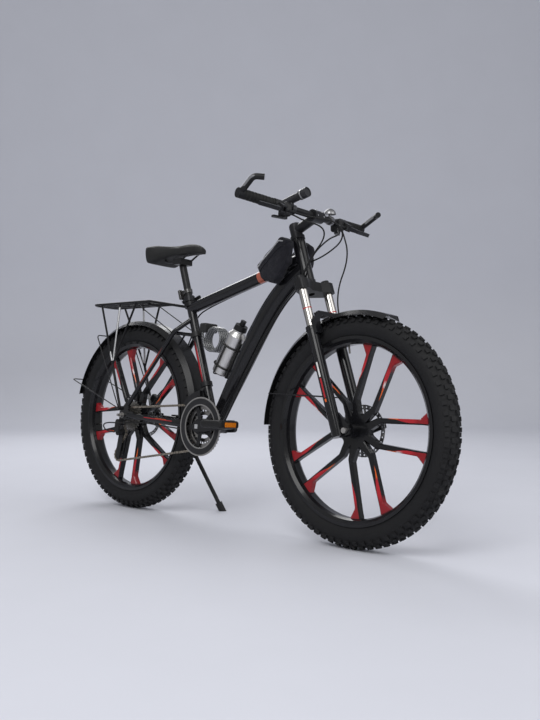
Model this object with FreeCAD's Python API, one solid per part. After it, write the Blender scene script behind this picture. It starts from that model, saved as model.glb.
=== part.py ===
import FreeCAD, Part
import math
import os

V = FreeCAD.Vector

# A bicycle with wide tyres and cast wheels, leaning on its side stand.
# X points forwards, Y to the rider's left and Z up, in millimetres.

RIGHT = -1
LEFT = 1
SIDES = (RIGHT, LEFT)
WHEEL_AXIS = V(0, -1, 0)

# Stance and layout
LEAN_DEG = 4.25
WHEELBASE = 1065.0
TYRE_DIAMETER = 704.0
CHAINSTAY_LENGTH = 441.0
BB_DROP = 21.0
SEAT_ANGLE_DEG = 69.2
SEAT_TUBE_LENGTH = 500.0
HEAD_ANGLE_DEG = 69.5
FORK_RAKE = 46.0
AXLE_TO_CROWN = 505.0
HEAD_TUBE_LENGTH = 150.0
HEADSET_STACK = 12.0

# Fits
RUN_GAP = 0.3
SHAFT_GAP = 0.05
SEAT_GAP = 0.02
OVERRUN = 2.0
BEND_SHARE = 0.45

# Tyres
TYRE_WIDTH = 74.0
TYRE_WALL = 4.0
BEAD_DIAMETER = 564.0
KNOB_PITCHES = 72
KNOB_HEIGHT = 5.0
KNOB_LENGTH = 13.0
KNOB_WIDTH = 13.0
KNOB_SINK = 2.0
# Angle round the section in degrees, and place along the pitch
KNOB_ROWS = ((-56, 0.28), (-28, 0.74), (0, 0.28), (28, 0.74), (56, 0.28))

# Cast wheels
RIM_INNER_DIAMETER = 524.0
RIM_WIDTH = 64.0
RIM_WALL = 4.5
RIM_LIP = 4.0
RIM_GAP = 0.4
RIM_FLAT_SHARE = 0.2
RIM_KNEE_SHARE = 0.37
RIM_WELL_SHARE = 0.26
RIM_SHOULDER_SHARE = 3.0
SPOKE_PAIRS = 5
SPOKE_THICKNESS = 24.0
SPOKE_CORNER = 12.0
SPOKE_BEVEL = 3.0
SPOKE_OUTLINE_SHARES = ((0.06, 0.06), (0.3, 0.172), (0.86, 0.2), (0.965, 0.3), (1.02, 0.32))
SPOKE_INSIDE_SHARES = ((1.02, 0.14), (0.9, 0.142), (0.34, 0.112), (0.17, 0.0))
FRONT_PHASE_DEG = -2.0
REAR_PHASE_DEG = 44.0
AXLE_RADIUS = 5.0
HUB_RADIUS = 21.0
HUB_BOSS_RADIUS = 46.0
HUB_END_RADIUS = 17.0
BEARING_RADIUS = 13.0
BEARING_WIDTH = 9.0
BORE_RADIUS = 8.0
FRONT_HUB_WIDTH = 100.0
REAR_HUB_WIDTH = 135.0
HUB_INSET = 6.0

# Brake rotors and calipers
ROTOR_RADIUS = 80.0
ROTOR_THICKNESS = 2.0
ROTOR_TRACK = 14.0
ROTOR_CENTRE_RADIUS = 30.0
ROTOR_ARMS = 6
ROTOR_ARM_WIDTH = 8.0
ROTOR_HOLES = 30
ROTOR_HOLE_RADIUS = 2.6
FRONT_ROTOR_Y = 32.0
REAR_ROTOR_Y = 50.0
CALIPER_LENGTH = 44.0
CALIPER_HEIGHT = 32.0
CALIPER_HALF_WIDTH = 11.5
CALIPER_SLOT = 4.0
CALIPER_CORNER = 7.0
CALIPER_ARM_RADIUS = 6.0
FRONT_CALIPER_UP = 40.0
FRONT_CALIPER_BACK = 64.0
REAR_CALIPER_DEG = 58.0
REAR_CALIPER_ARM_SHARE = 0.17
CALIPER_REACH = 76.0

# Chain drive
CHAIN_PITCH = 12.7
CHAIN_SEARCH_SHARES = (0.9, 1.3)
PIN_HALVINGS = 40
CAGE_HALVINGS = 36
CHAIN_Y = -59.0
ROLLER_RADIUS = 3.85
ROLLER_HALF = 1.5
PIN_RADIUS = 1.8
PLATE_THICKNESS = 0.9
PLATE_HEIGHT = 8.2
PLATE_WAIST_SHARE = 0.7
PLATE_GAP = 0.12
TOOTH_RISE = 3.0
TOOTH_THICKNESS = 1.8
TOOTH_GAP = 0.45
TOOTH_TIP_SHARE = 0.12
SEAT_ARC_DEG = 62
RING_TEETH = (28, 38, 48)
RING_SPACING = 7.0
RING_BANDS = (16.0, 18.0, 18.0)
DRIVE_RING = 1
COG_TEETH = (14, 16, 18, 20, 22, 24, 28)
COG_SPACING = 5.0
COG_BODY_RADIUS = 21.0
COG_BORE_RADIUS = 15.5
PULLEY_TEETH = 11
PULLEY_BORE = 3.5
PULLEY_RISE = 1.8
CAGE_LENGTH = 88.0
CAGE_START_DEG = -130.0
CAGE_STOP_DEG = -62.0
CAGE_TARGET_DEG = -95.0
GUIDE_BACK = 11.0
GUIDE_DROP = 66.0
CAGE_PLATE = 2.0
CAGE_HALF_GAP = 4.6
CAGE_RADIUS = 13.0
HANGER_BACK = 6.0
HANGER_DROP = 28.0
KNUCKLE_RADIUS = 12.0
KNUCKLE_OUT = 92.0
LINK_OUT = 84.0

# Cranks and pedals
BB_SHELL_RADIUS = 22.0
BB_SHELL_WIDTH = 70.0
BB_CUP_RADIUS = 19.0
BB_FLANGE = 4.0
SPINDLE_RADIUS = 8.5
CRANK_LENGTH = 170.0
CRANK_DEG = 5.0
CRANK_INNER_Y = 77.0
CRANK_THICKNESS = 14.0
CRANK_ROOT_RADIUS = 19.0
CRANK_TIP_RADIUS = 14.0
SPIDER_RADIUS = 28.0
SPIDER_ARMS = 5
SPIDER_ARM_WIDTH = 17.0
SPIDER_PLATE = 2.1
SPIDER_CORNER = 1.8
POST_RADIUS = 4.5
GUARD_RADIUS = 102.0
GUARD_BAND = 29.0
GUARD_THICKNESS = 3.0
GUARD_Y = -72.5
PEDAL_AXLE_RADIUS = 6.0
PEDAL_START_Y = 96.0
PEDAL_LENGTH = 98.0
PEDAL_WIDTH = 88.0
PEDAL_THICKNESS = 26.0
PEDAL_CORNER = 9.0
PEDAL_WALL = 11.0
PEDAL_BARREL_RADIUS = 11.0
REFLECTOR_LENGTH = 46.0
REFLECTOR_HEIGHT = 15.0
REFLECTOR_DEPTH = 4.0

# Main frame
HEAD_TUBE_RADIUS = 22.0
HEAD_TUBE_BORE = 18.0
SEAT_TUBE_RADIUS = 16.5
POST_RADIUS_TOP = 13.6
TUBE_WALL = 2.2
TOP_TUBE_SEAT_DROP = 46.0
TOP_TUBE_HEAD_DROP = 68.0
TOP_TUBE_HALF_TALL = 21.0
TOP_TUBE_HALF_WIDE = 19.0
DOWN_TUBE_FOOT_DEG = 60.6
DOWN_TUBE_HEAD_DEG = 25.0
DOWN_TUBE_HEAD_RISE = 42.0
DOWN_TUBE_HANDLE_SHARES = (0.62, 0.22)
DOWN_TUBE_HALF_TALL = 37.0
DOWN_TUBE_HALF_WIDE = 30.0
# Place along the tube, share of the full depth, share of the full width
DOWN_TUBE_SHARES = ((0.0, 0.56, 0.95), (0.2, 0.85, 1.0), (0.45, 1.0, 1.0), (0.7, 0.95, 0.9), (1.0, 0.8, 0.72))

# Rear triangle
DROPOUT_THICKNESS = 7.0
DROPOUT_CORNER = 6.0
DROPOUT_REACH = 66.0
DROPOUT_SHARES = ((-0.27, -0.2), (-0.27, 0.2), (0.26, 0.72), (0.56, 0.56), (0.46, 0.24), (1.0, 0.21),
                  (1.0, -0.19), (0.15, -0.26))
HANGER_SHARES = ((0.1, -0.6), (-0.28, -0.6))
# Share of the stay's length from the bottom bracket, offset, half height, half width
CHAINSTAY_SHARES = ((0.0, 0.34, 1.0, 0.5), (0.15, 0.52, 1.0, 0.52), (0.3, 0.78, 1.0, 0.52),
                    (0.45, 0.87, 0.92, 0.56), (0.6, 0.92, 0.85, 0.6), (0.77, 0.97, 0.78, 0.6), (0.93, 1.0, 0.72, 0.6))
CHAINSTAY_OFFSET = 71.0
CHAINSTAY_HALF_TALL = 14.0
SEATSTAY_RADIUS = 8.5
SEATSTAY_DROP = 90.0
SEATSTAY_TOP_Y = 12.0
SEATSTAY_SHOULDER_Y = 57.0
SEATSTAY_SHOULDER_SHARE = 0.145
SEATSTAY_BEND = 40.0
SEATSTAY_END_SHARES = (0.42, 0.6)
BRIDGE_RADIUS = 7.0
BRIDGE_SHARE = 0.015
NUT_RADIUS = 8.5
NUT_THICKNESS = 9.0
WASHER_RADIUS = 10.5
WASHER_THICKNESS = 2.0
AXLE_END = 12.0

# Seat
COLLAR_RADIUS = 20.5
COLLAR_HEIGHT = 18.0
COLLAR_LUG = 8.0
POST_EXPOSED = 132.0
POST_INSERT = 150.0
SADDLE_LENGTH = 272.0
SADDLE_WIDTH = 160.0
SADDLE_HEIGHT = 64.0
SADDLE_NOSE_X = -199.0
SADDLE_TOP_Z = 997.0
# Share of length from the nose, half width share, top share, bottom share, side bulge share
SADDLE_SHARES = ((0.0, 0.085, -0.36, -0.72, 0.25), (0.1, 0.15, -0.1, -0.66, 0.3), (0.35, 0.19, -0.03, -0.6, 0.3),
                 (0.58, 0.3, -0.05, -0.62, 0.25), (0.78, 0.48, 0.02, -0.78, 0.2), (0.93, 0.47, 0.1, -0.85, 0.2),
                 (1.0, 0.36, 0.02, -0.6, 0.2))
SADDLE_CROWN_SHARE = 0.14
RAIL_RADIUS = 3.5
RAIL_SPACING = 44.0
RAIL_SHARES = (0.14, 0.4, 0.66, 0.86)
RAIL_END_SHARE = 0.4
SADDLE_CLAMP = 40.0
SADDLE_CLAMP_TALL = 22.0
SEAT_REFLECTOR_SIZE = 38.0
SEAT_REFLECTOR_DEPTH = 12.0
SEAT_REFLECTOR_UP = 22.0
SEAT_REFLECTOR_BACK = 26.0
SEAT_CLIP = 14.0
LEVER_THICKNESS = 5.0

# Fork
LEG_SPACING = 124.0
LEG_OFFSET = 18.0
STANCHION_RADIUS = 14.5
STANCHION_WALL = 2.5
STANCHION_LOW = 205.0
LOWER_TOP = 345.0
LOWER_RADIUS = 18.0
LOWER_FLOOR = 135.0
SEAL_RADIUS = 20.0
SEAL_HEIGHT = 12.0
ARCH_LOW = 315.0
ARCH_INSIDE = 376.0
ARCH_OUTSIDE = 392.0
ARCH_BACK = 24.0
ARCH_FRONT = 44.0
ARCH_SHOULDER = 30.0
ARCH_WIDE_SHARE = 0.7
ARCH_GAP = 2.7
CROWN_HEIGHT = 34.0
CROWN_CORNER = 15.0
CROWN_SHARES = ((-0.36, 0.3), (0.0, 1.3), (0.62, 1.3), (0.66, 0.9), (0.44, 0.42))
STEERER_RADIUS = 14.3
STEERER_WALL = 2.5
CROWN_KNOB_RADIUS = 13.0
CROWN_KNOB_HEIGHT = 12.0
FORK_TAB_INSIDE = 50.0
FORK_TAB_THICKNESS = 9.0
FORK_TAB_LOW = 15.0
FORK_TAB_HIGH = 62.0
FORK_TAB_FRONT = 16.0
FORK_TAB_CORNER = 7.0
FORK_FOOT = 12.0

# Cockpit
STEM_HEIGHT = 40.0
STEM_RADIUS = 20.0
STEM_HALF_TALL = 16.0
STEM_HALF_WIDE = 17.0
STEM_REACH = 93.0
STEM_RISE_DEG = 25.0
STEM_CLAMP_WIDTH = 46.0
BAR_RADIUS = 11.1
BAR_SLEEVE_RADIUS = 12.7
BAR_HALF = 305.0
BAR_CENTRE_HALF = 45.0
BAR_SWEEP = 54.0
BAR_RISE = 20.0
BAR_BEND = 60.0
CAP_RADIUS = 17.0
CAP_HEIGHT = 5.0
GRIP_RADIUS = 16.0
GRIP_LENGTH = 112.0
GRIP_RIBS = 9
GRIP_RIB_RISE = 1.2
GRIP_RIB_SHARE = 0.5
BAREND_CLAMP = 20.0
BAREND_RADIUS = 9.5
BAREND_FORWARD = 64.0
BAREND_UP = 40.0
BAREND_IN = 26.0
BAREND_BEND = 22.0
POD_START = 133.0
PERCH_WIDTH = 16.0
PERCH_RADIUS = 17.0
PERCH_REACH = 34.0
PERCH_CHEEK_SHARE = 1.5
SHIFTER_WIDTH = 30.0
SHIFTER_TALL = 44.0
SHIFTER_DEEP = 42.0
SHIFTER_CORNER = 9.0
LEVER_DROP_DEG = 30.0
LEVER_REACH = 62.0
LEVER_LENGTH = 105.0
LEVER_HALF_TALL = 6.0
LEVER_PIN_RADIUS = 3.0
BARREL_RADIUS = 7.4
EXIT_SHARE = 0.9
LEVER_SHARES = ((-0.05, 0.3), (0.12, 0.36), (0.3, 0.72), (0.94, 0.86), (1.0, 1.02), (0.92, 1.02), (0.24, 0.92),
                (0.02, 0.62), (-0.1, 0.5))
THUMB_LENGTH = 36.0
THUMB_WIDTH = 16.0
THUMB_THICKNESS = 6.0
THUMB_DROP_SHARE = 0.7
THUMB_BOSS_SHARE = 0.62
LIGHT_Y = -102.0
LIGHT_RADIUS = 13.0
LIGHT_HEAD_RADIUS = 16.0
LIGHT_LENGTH = 108.0
LIGHT_HEAD_LENGTH = 30.0
LIGHT_RISE = 32.0
LIGHT_TILT_DEG = 14.0
LIGHT_BACK_SHARE = 0.35
CLIP_RADIUS = 15.0
CLIP_WIDTH = 14.0
BELL_Y = 78.0
BELL_RADIUS = 20.0
BELL_HEIGHT = 17.0
BELL_STAND = 9.0
BELL_STEM_RADIUS = 5.0

# Fenders
FENDER_RADIUS = 364.0
FENDER_THICKNESS = 2.5
FENDER_WIDTH = 86.0
FENDER_SKIRT = 16.0
FRONT_FENDER_ARCS = ((72.0, 104.0), (106.0, 180.0))
REAR_FENDER_ARC = (12.0, 168.0)
STAY_RADIUS = 2.2
FRONT_STAY_DEG = 163.0
FRONT_STAY_UP = 122.0
REAR_STAY_DEGS = (158.0, 120.0)
STAY_Y = 86.5
STAY_BEND = 14.0
FENDER_BRACKET_WIDTH = 26.0

# Rack
RACK_Z = 786.0
RACK_FRONT_X = -430.0
RACK_BACK_X = -790.0
RACK_HALF_WIDTH = 57.0
RACK_RADIUS = 5.0
RACK_BAR_RADIUS = 4.0
RACK_BEND = 26.0
RACK_BAR_SHARES = (0.12, 0.37, 0.62, 0.86)
RACK_SLAT_Y = 21.0
RACK_LEG_SHARES = (0.22, 0.5, 0.84)
RACK_LEG_Y = 79.0
RACK_JOIN_BACK = 74.0
RACK_JOIN_UP = 192.0
RACK_FOOT_UP = 24.0
RACK_FOOT_BACK = 10.0
RACK_CLAMP_DROP = 22.0
RACK_CLAMP_TALL = 16.0
RACK_CLAMP_RADIUS = 23.0
RACK_BLOCK = 24.0
RACK_STRUT_SHARE = 0.24

# Bottle, lock and bag
BOTTLE_RADIUS = 33.0
BOTTLE_LENGTH = 150.0
BOTTLE_SHOULDER = 18.0
BOTTLE_NECK_RADIUS = 20.0
BOTTLE_CAP_RADIUS = 24.0
BOTTLE_CAP_HEIGHT = 22.0
BOTTLE_SPOUT_RADIUS = 10.0
BOTTLE_SPOUT_HEIGHT = 18.0
BOTTLE_TILT_DEG = 60.6
BOTTLE_ALONG = 172.0
BOTTLE_OFF = 81.0
BOTTLE_DENT = 2.0
CAGE_ROD_RADIUS = 3.0
CAGE_RING_SHARES = (0.2, 0.72)
CAGE_PAD_SHARES = (0.15, 0.75)
CAGE_PLATE_SHARE = 0.9
CAGE_BEND_SHARE = 3.0
CAGE_GAP = 0.6
CAGE_PLATE_WIDTH = 22.0
COIL_RADIUS = 42.0
COIL_WIRE = 4.2
COIL_PITCH = 9.6
COIL_TURNS = 4
COIL_END_SHARE = 0.75
COIL_STEPS = 4
COIL_UP = 308.0
COIL_ALONG = -20.0
LOCK_BLOCK = 34.0
LOCK_HALF_WIDTH = 32.0
LOCK_CORNER = 8.0
LOCK_RISE = 34.0
LOCK_CLIP_RADIUS = 21.0
LOCK_CLIP_TALL = 18.0
BAG_HALF_IN = 31.0
BAG_HALF_OUT = 72.0
BAG_LENGTH = 165.0
BAG_CORNER = 20.0
BAG_EDGE = 12.0
BAG_BACK = 150.0
BAG_SHARES = ((0.0, 0.0), (0.76, 0.38), (0.98, 0.18), (0.84, -0.24), (0.42, -0.58), (0.06, -0.32))
BAG_STRAP = 5.0
BAG_STRAP_WIDE_SHARE = 3.0
BAG_STRAP_SHARES = (0.15, 0.55)

# Front derailleur
FD_UP = 150.0
FD_BAND = 16.0
FD_BAND_RADIUS = 21.0
FD_BODY = 26.0
FD_ARC = (98.0, 142.0)
FD_OUTER_RADII = (106.0, 126.0)
FD_INNER_RADII = (92.0, 126.0)
FD_PLATE = 1.6
FD_HALF_GAP = 6.0
FD_SLIDER_RADIUS = 4.0
FD_SLEEVE_SHARE = 3.0

# Side stand
STAND_X = -362.0
STAND_Y = 92.0
STAND_Z = 300.0
STAND_FOOT_X = -215.0
STAND_FOOT_Y = 186.0
STAND_RADIUS = 7.5
STAND_FOOT_RADIUS = 13.0
STAND_FOOT_LENGTH = 34.0
STAND_EYE_RADIUS = 12.0
STAND_EYE_WIDTH = 16.0
STAND_CHEEK = 5.0
STAND_PIN_RADIUS = 4.0
STAND_CLAMP = 46.0
STAND_PLATE = 6.0
STAND_PLATE_GAP = 0.9
STAND_STAY_ROW = 4
STAND_TUCK_SHARE = 0.25
STAND_CUT_SHARE = 4.0

# Quick-release levers
QR_LENGTH = 58.0
QR_CAM_RADIUS = 8.0
QR_SKEWER_RADIUS = 3.0

# Cables
HOUSING_RADIUS = 2.5
FERRULE = 12.0
FRONT_BRAKE_ROUTE = ((354, 84, 1016), (405, 44, 985), (425, 60, 900), (350, 91, 790), (383, 91, 665),
                     (440, 87, 470), (444, 62, 428), (454, 40, 406), (455, 40, 391))
REAR_BRAKE_ROUTE = ((356, -82, 1012), (436, -20, 1000), (420, 40, 955), (345, 31, 905), (270, 24.5, 884),
                    (150, 24.5, 852), (-200, 24.5, 758), (-268, 36, 722), (-315, 59, 640), (-426, 65.5, 507),
                    (-464, 67, 460), (-476, 58, 446), (-483, 52, 432))
REAR_SHIFT_ROUTE = ((352, -90, 998), (412, -62, 978), (406, -42, 945), (350, -38, 892), (302, -38, 812),
                    (262, -18, 789), (218, -18, 752), (144, -18, 655), (44, -18, 497), (-62, -18, 314),
                    (-92, -20, 302), (-130, -28, 306), (-190, -46, 315), (-300, -62, 322), (-440, -74, 332),
                    (-490, -105, 322), (-580, -106, 322), (-622, -98, 310), (-606, -90, 286), (-556.5, -88, 286))
FRONT_SHIFT_ROUTE = ((352, 88, 996), (398, 36, 970), (404, -24, 946), (346, -30, 900), (300, -30, 812),
                     (264, -8, 788), (219, -8, 750), (145, -8, 653), (45, -8, 495), (-60, -8, 312),
                     (-90, -8, 301), (-122, -6, 310), (-146, -12, 352), (-153, -33, 395), (-153, -33, 424))


def unit(vector):
    result = V(vector)
    result.normalize()
    return result


def polar(centre, radius, angle_deg, y=0):
    angle = math.radians(angle_deg)
    return V(centre.x + radius * math.cos(angle), y, centre.z + radius * math.sin(angle))


def heading(angle_deg):
    angle = math.radians(angle_deg)
    return V(math.cos(angle), 0, math.sin(angle))


# Places the pieces share
REAR_AXLE = V(-WHEELBASE / 2, 0, TYRE_DIAMETER / 2)
FRONT_AXLE = V(WHEELBASE / 2, 0, TYRE_DIAMETER / 2)
BB = REAR_AXLE + V(math.sqrt(CHAINSTAY_LENGTH ** 2 - BB_DROP ** 2), 0, -BB_DROP)
STEER_UP = heading(180 - HEAD_ANGLE_DEG)
STEER_FORWARD = heading(90 - HEAD_ANGLE_DEG)
SEAT_UP = heading(180 - SEAT_ANGLE_DEG)
SEAT_FORWARD = heading(90 - SEAT_ANGLE_DEG)
STEER_FOOT = FRONT_AXLE - STEER_FORWARD * FORK_RAKE
HEAD_LOW = AXLE_TO_CROWN + HEADSET_STACK
HEAD_TOP = HEAD_LOW + HEAD_TUBE_LENGTH
STEM_LOW = HEAD_TOP + HEADSET_STACK
STEERER_TOP = STEM_LOW + STEM_HEIGHT


def at_fork(up, forward, y=0):
    return STEER_FOOT + STEER_UP * up + STEER_FORWARD * forward + V(0, y, 0)


def at_seat(up, forward=0, y=0):
    return BB + SEAT_UP * up + SEAT_FORWARD * forward + V(0, y, 0)


BAR_CENTRE = at_fork(STEM_LOW + STEM_HEIGHT / 2, 0) + heading(STEM_RISE_DEG) * STEM_REACH


def rod(start, end, radius):
    span = end - start
    return Part.makeCylinder(radius, span.Length, start, span)


def tube(start, end, outer, inner):
    past = unit(end - start) * OVERRUN
    return rod(start, end, outer).cut(rod(start - past, end + past, inner))


def across(centre, y0, y1, radius):
    return rod(V(centre.x, y0, centre.z), V(centre.x, y1, centre.z), radius)


def across_tube(centre, y0, y1, outer, inner):
    return tube(V(centre.x, y0, centre.z), V(centre.x, y1, centre.z), outer, inner)


def joined(shapes):
    return shapes[0].multiFuse(shapes[1:])


def placed(shape, origin, x_axis, z_axis):
    z = unit(z_axis)
    x = unit(x_axis - z * x_axis.dot(z))
    y = z.cross(x)
    rows = (x.x, y.x, z.x, origin.x, x.y, y.y, z.y, origin.y, x.z, y.z, z.z, origin.z, 0, 0, 0, 1)
    result = shape.copy()
    result.Placement = FreeCAD.Placement(FreeCAD.Matrix(*rows)).multiply(result.Placement)
    return result


def turned(shape, centre, axis, angle_deg):
    result = shape.copy()
    result.rotate(centre, axis, angle_deg)
    return result


def moved(shape, offset):
    result = shape.copy()
    result.translate(offset)
    return result


def line(start, end):
    return Part.LineSegment(start, end).toShape()


def corner_arc(before, here, after, corner):
    into = unit(here - before)
    out = unit(after - here)
    half = into.getAngle(out) / 2
    room = BEND_SHARE * min((here - before).Length, (after - here).Length)
    reach = min(corner * math.tan(half), room)
    radius = reach / math.tan(half)
    inward = unit(out - into)
    middle = here + inward * (radius / math.cos(half) - radius)
    return here - into * reach, middle, here + out * reach


def closed_loop(points, corner):
    arcs = []
    for index, here in enumerate(points):
        arcs.append(corner_arc(points[index - 1], here, points[(index + 1) % len(points)], corner))
    edges = []
    for index, (start, middle, end) in enumerate(arcs):
        edges.append(line(arcs[index - 1][2], start))
        edges.append(Part.Arc(start, middle, end).toShape())
    return Part.Wire(edges)


def slab(points, corner, depth):
    return Part.Face(closed_loop(points, corner)).extrude(depth)


def side_plate(points, y0, y1, corner):
    flat = [V(point.x, y0, point.z) for point in points]
    return slab(flat, corner, V(0, y1 - y0, 0))


def bent_path(points, bend=None):
    edges = []
    start = points[0]
    for before, here, after in zip(points, points[1:], points[2:]):
        room = (here - before).Length + (after - here).Length
        first, middle, last = corner_arc(before, here, after, bend or room * room)
        edges.append(line(start, first))
        edges.append(Part.Arc(first, middle, last).toShape())
        start = last
    edges.append(line(start, points[-1]))
    return Part.Wire(edges)


def swept(path, radius):
    first = path.Edges[0]
    start = first.valueAt(first.FirstParameter)
    ring = Part.Wire(Part.makeCircle(radius, start, first.tangentAt(first.FirstParameter)))
    return path.makePipeShell([ring], True, False)


def bent_rod(points, bend, radius):
    return swept(bent_path(points, bend), radius)


def oval(centre, tall, wide, half_tall, half_wide):
    curve = Part.Circle(V(0, 0, 0), V(0, 0, 1), half_wide).toBSpline()
    stretch = half_tall / half_wide
    for index, pole in enumerate(curve.getPoles()):
        curve.setPole(index + 1, centre + tall * (pole.x * stretch) + wide * pole.y)
    return Part.Wire(curve.toShape())


def lofted(sections):
    return Part.makeLoft(sections, True, False)


def spun(points, centre, sweep_deg=360, start_deg=0):
    corners = [V(radius, y, 0) for radius, y in points]
    face = Part.Face(Part.makePolygon(corners + corners[:1]))
    shape = face.revolve(V(0, 0, 0), WHEEL_AXIS, sweep_deg)
    shape.rotate(V(0, 0, 0), WHEEL_AXIS, start_deg)
    return moved(shape, centre)


def rounded_box(size, corner):
    box = Part.makeBox(size.x, size.y, size.z, size * -0.5)
    return box.makeFillet(corner, box.Edges)


# Wheels

def tyre_half_width(radius):
    middle = TYRE_DIAMETER / 2 - KNOB_HEIGHT - TYRE_WIDTH / 2
    return math.sqrt((TYRE_WIDTH / 2) ** 2 - (middle - radius) ** 2)


def tyre_knob(angle_deg, row_deg):
    section = TYRE_WIDTH / 2
    middle = TYRE_DIAMETER / 2 - KNOB_HEIGHT - section
    row = math.radians(row_deg)
    out = heading(angle_deg)
    along = heading(angle_deg + 90)
    normal = out * math.cos(row) + V(0, math.sin(row), 0)
    base = out * (middle + section * math.cos(row)) + V(0, section * math.sin(row), 0)
    corner = V(-KNOB_LENGTH / 2, -KNOB_WIDTH / 2, -KNOB_SINK)
    block = Part.makeBox(KNOB_LENGTH, KNOB_WIDTH, KNOB_HEIGHT + KNOB_SINK, corner)
    return placed(block, base, along, normal)


def tyre():
    crown = TYRE_DIAMETER / 2 - KNOB_HEIGHT
    middle = crown - TYRE_WIDTH / 2
    bead = BEAD_DIAMETER / 2
    outer_half = tyre_half_width(bead)
    inner_half = math.sqrt((TYRE_WIDTH / 2 - TYRE_WALL) ** 2 - (middle - bead) ** 2)
    outer = Part.Arc(V(bead, -outer_half, 0), V(crown, 0, 0), V(bead, outer_half, 0)).toShape()
    inner = Part.Arc(V(bead, inner_half, 0), V(crown - TYRE_WALL, 0, 0), V(bead, -inner_half, 0)).toShape()
    left = line(V(bead, outer_half, 0), V(bead, inner_half, 0))
    right = line(V(bead, -inner_half, 0), V(bead, -outer_half, 0))
    step = 360 / KNOB_PITCHES
    casing = Part.Face(Part.Wire([outer, left, inner, right])).revolve(V(0, 0, 0), WHEEL_AXIS, step)
    knobs = [tyre_knob(step * place, row) for row, place in KNOB_ROWS]
    sector = casing.multiFuse(knobs)
    ends = (heading(90), heading(90 + step))
    kept = []
    for face in sector.Faces:
        if min(abs(face.CenterOfMass.dot(end)) for end in ends) > SEAT_GAP:
            kept.append(face)
    faces = []
    for index in range(KNOB_PITCHES):
        for face in kept:
            faces.append(turned(face, V(0, 0, 0), WHEEL_AXIS, step * index))
    shell = Part.makeShell(faces)
    shell.sewShape()
    solid = Part.makeSolid(shell)
    if solid.Volume < 0:
        solid.reverse()
    return solid


def rim():
    inner = RIM_INNER_DIAMETER / 2
    bead = BEAD_DIAMETER / 2 - SEAT_GAP
    lip = bead + RIM_LIP
    half = RIM_WIDTH / 2
    seat_half = tyre_half_width(bead) + RIM_GAP
    well = RIM_WIDTH * RIM_WELL_SHARE
    side = [(inner, RIM_WIDTH * RIM_FLAT_SHARE), (inner + RIM_WALL, RIM_WIDTH * RIM_KNEE_SHARE),
            (inner + RIM_WALL * RIM_SHOULDER_SHARE, half), (lip, half), (lip, tyre_half_width(lip) + RIM_GAP),
            (bead, seat_half), (bead, seat_half - RIM_WALL * 2), (inner + RIM_WALL * 2, well),
            (inner + RIM_WALL, well - RIM_WALL)]
    other = [(radius, -y) for radius, y in reversed(side)]
    return spun(side + other, V(0, 0, 0))


def spoke_pair():
    size = RIM_INNER_DIAMETER / 2
    half = SPOKE_THICKNESS / 2
    upper = [V(u * size, 0, v * size) for u, v in SPOKE_OUTLINE_SHARES + SPOKE_INSIDE_SHARES]
    lower = [V(point.x, 0, -point.z) for point in reversed(upper[:-1])]
    plate = side_plate(upper + lower, -half, half, SPOKE_CORNER)
    edges = []
    for edge in plate.Edges:
        box = edge.BoundBox
        if box.YLength < SEAT_GAP and edge.CenterOfMass.x > HUB_BOSS_RADIUS and box.XMax < size:
            edges.append(edge)
    return plate.makeChamfer(SPOKE_BEVEL, edges)


def wheel(centre, phase_deg, hub):
    right, left, rotor_y = hub
    pair = spoke_pair()
    spokes = []
    for index in range(SPOKE_PAIRS):
        spokes.append(turned(pair, V(0, 0, 0), WHEEL_AXIS, phase_deg + index * 360 / SPOKE_PAIRS))
    half = SPOKE_THICKNESS / 2
    origin = V(0, 0, 0)
    boss = across(origin, -half, half, HUB_BOSS_RADIUS)
    barrel = across(origin, right, rotor_y - ROTOR_THICKNESS / 2, HUB_RADIUS)
    ends = across(origin, right, left, HUB_END_RADIUS)
    body = rim().multiFuse(spokes + [boss, barrel, ends])
    body = body.cut(across(origin, right - OVERRUN, left + OVERRUN, BORE_RADIUS))
    pockets = []
    bearings = []
    for start, end in ((right, right + BEARING_WIDTH), (left - BEARING_WIDTH, left)):
        pockets.append(across(origin, start, end, BEARING_RADIUS))
        bearings.append(across_tube(origin, start, end, BEARING_RADIUS - SEAT_GAP, AXLE_RADIUS + SHAFT_GAP))
    return [moved(shape, centre) for shape in [body.cut(pockets)] + bearings]


def front_hub():
    half = FRONT_HUB_WIDTH / 2 - HUB_INSET
    return -half, half, FRONT_ROTOR_Y


def rear_hub():
    half = REAR_HUB_WIDTH / 2 - HUB_INSET
    return -COG_BODY_START, half, REAR_ROTOR_Y


COG_BODY_START = -CHAIN_Y - COG_SPACING * (len(COG_TEETH) - 1) - COG_SPACING


def rotor(centre, y):
    half = ROTOR_THICKNESS / 2
    disc = across_tube(centre, y - half, y + half, ROTOR_RADIUS, ROTOR_RADIUS - ROTOR_TRACK)
    hub = across_tube(centre, y - half, y + half, ROTOR_CENTRE_RADIUS, HUB_END_RADIUS + SEAT_GAP)
    holes = []
    for index in range(ROTOR_HOLES):
        place = polar(centre, ROTOR_RADIUS - ROTOR_TRACK / 2, index * 360 / ROTOR_HOLES)
        holes.append(across(place, y - ROTOR_THICKNESS, y + ROTOR_THICKNESS, ROTOR_HOLE_RADIUS))
    arms = []
    step = 360 / ROTOR_ARMS
    for index in range(ROTOR_ARMS):
        start = polar(centre, ROTOR_CENTRE_RADIUS - ROTOR_THICKNESS, index * step)
        end = polar(centre, ROTOR_RADIUS - ROTOR_TRACK + ROTOR_THICKNESS, index * step + step / 2)
        side = unit((end - start).cross(V(0, 1, 0))) * (ROTOR_ARM_WIDTH / 2)
        arms.append(side_plate([start - side, end - side, end + side, start + side], y - half, y + half,
                               ROTOR_THICKNESS))
    return disc.cut(holes).multiFuse([hub] + arms)


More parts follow.
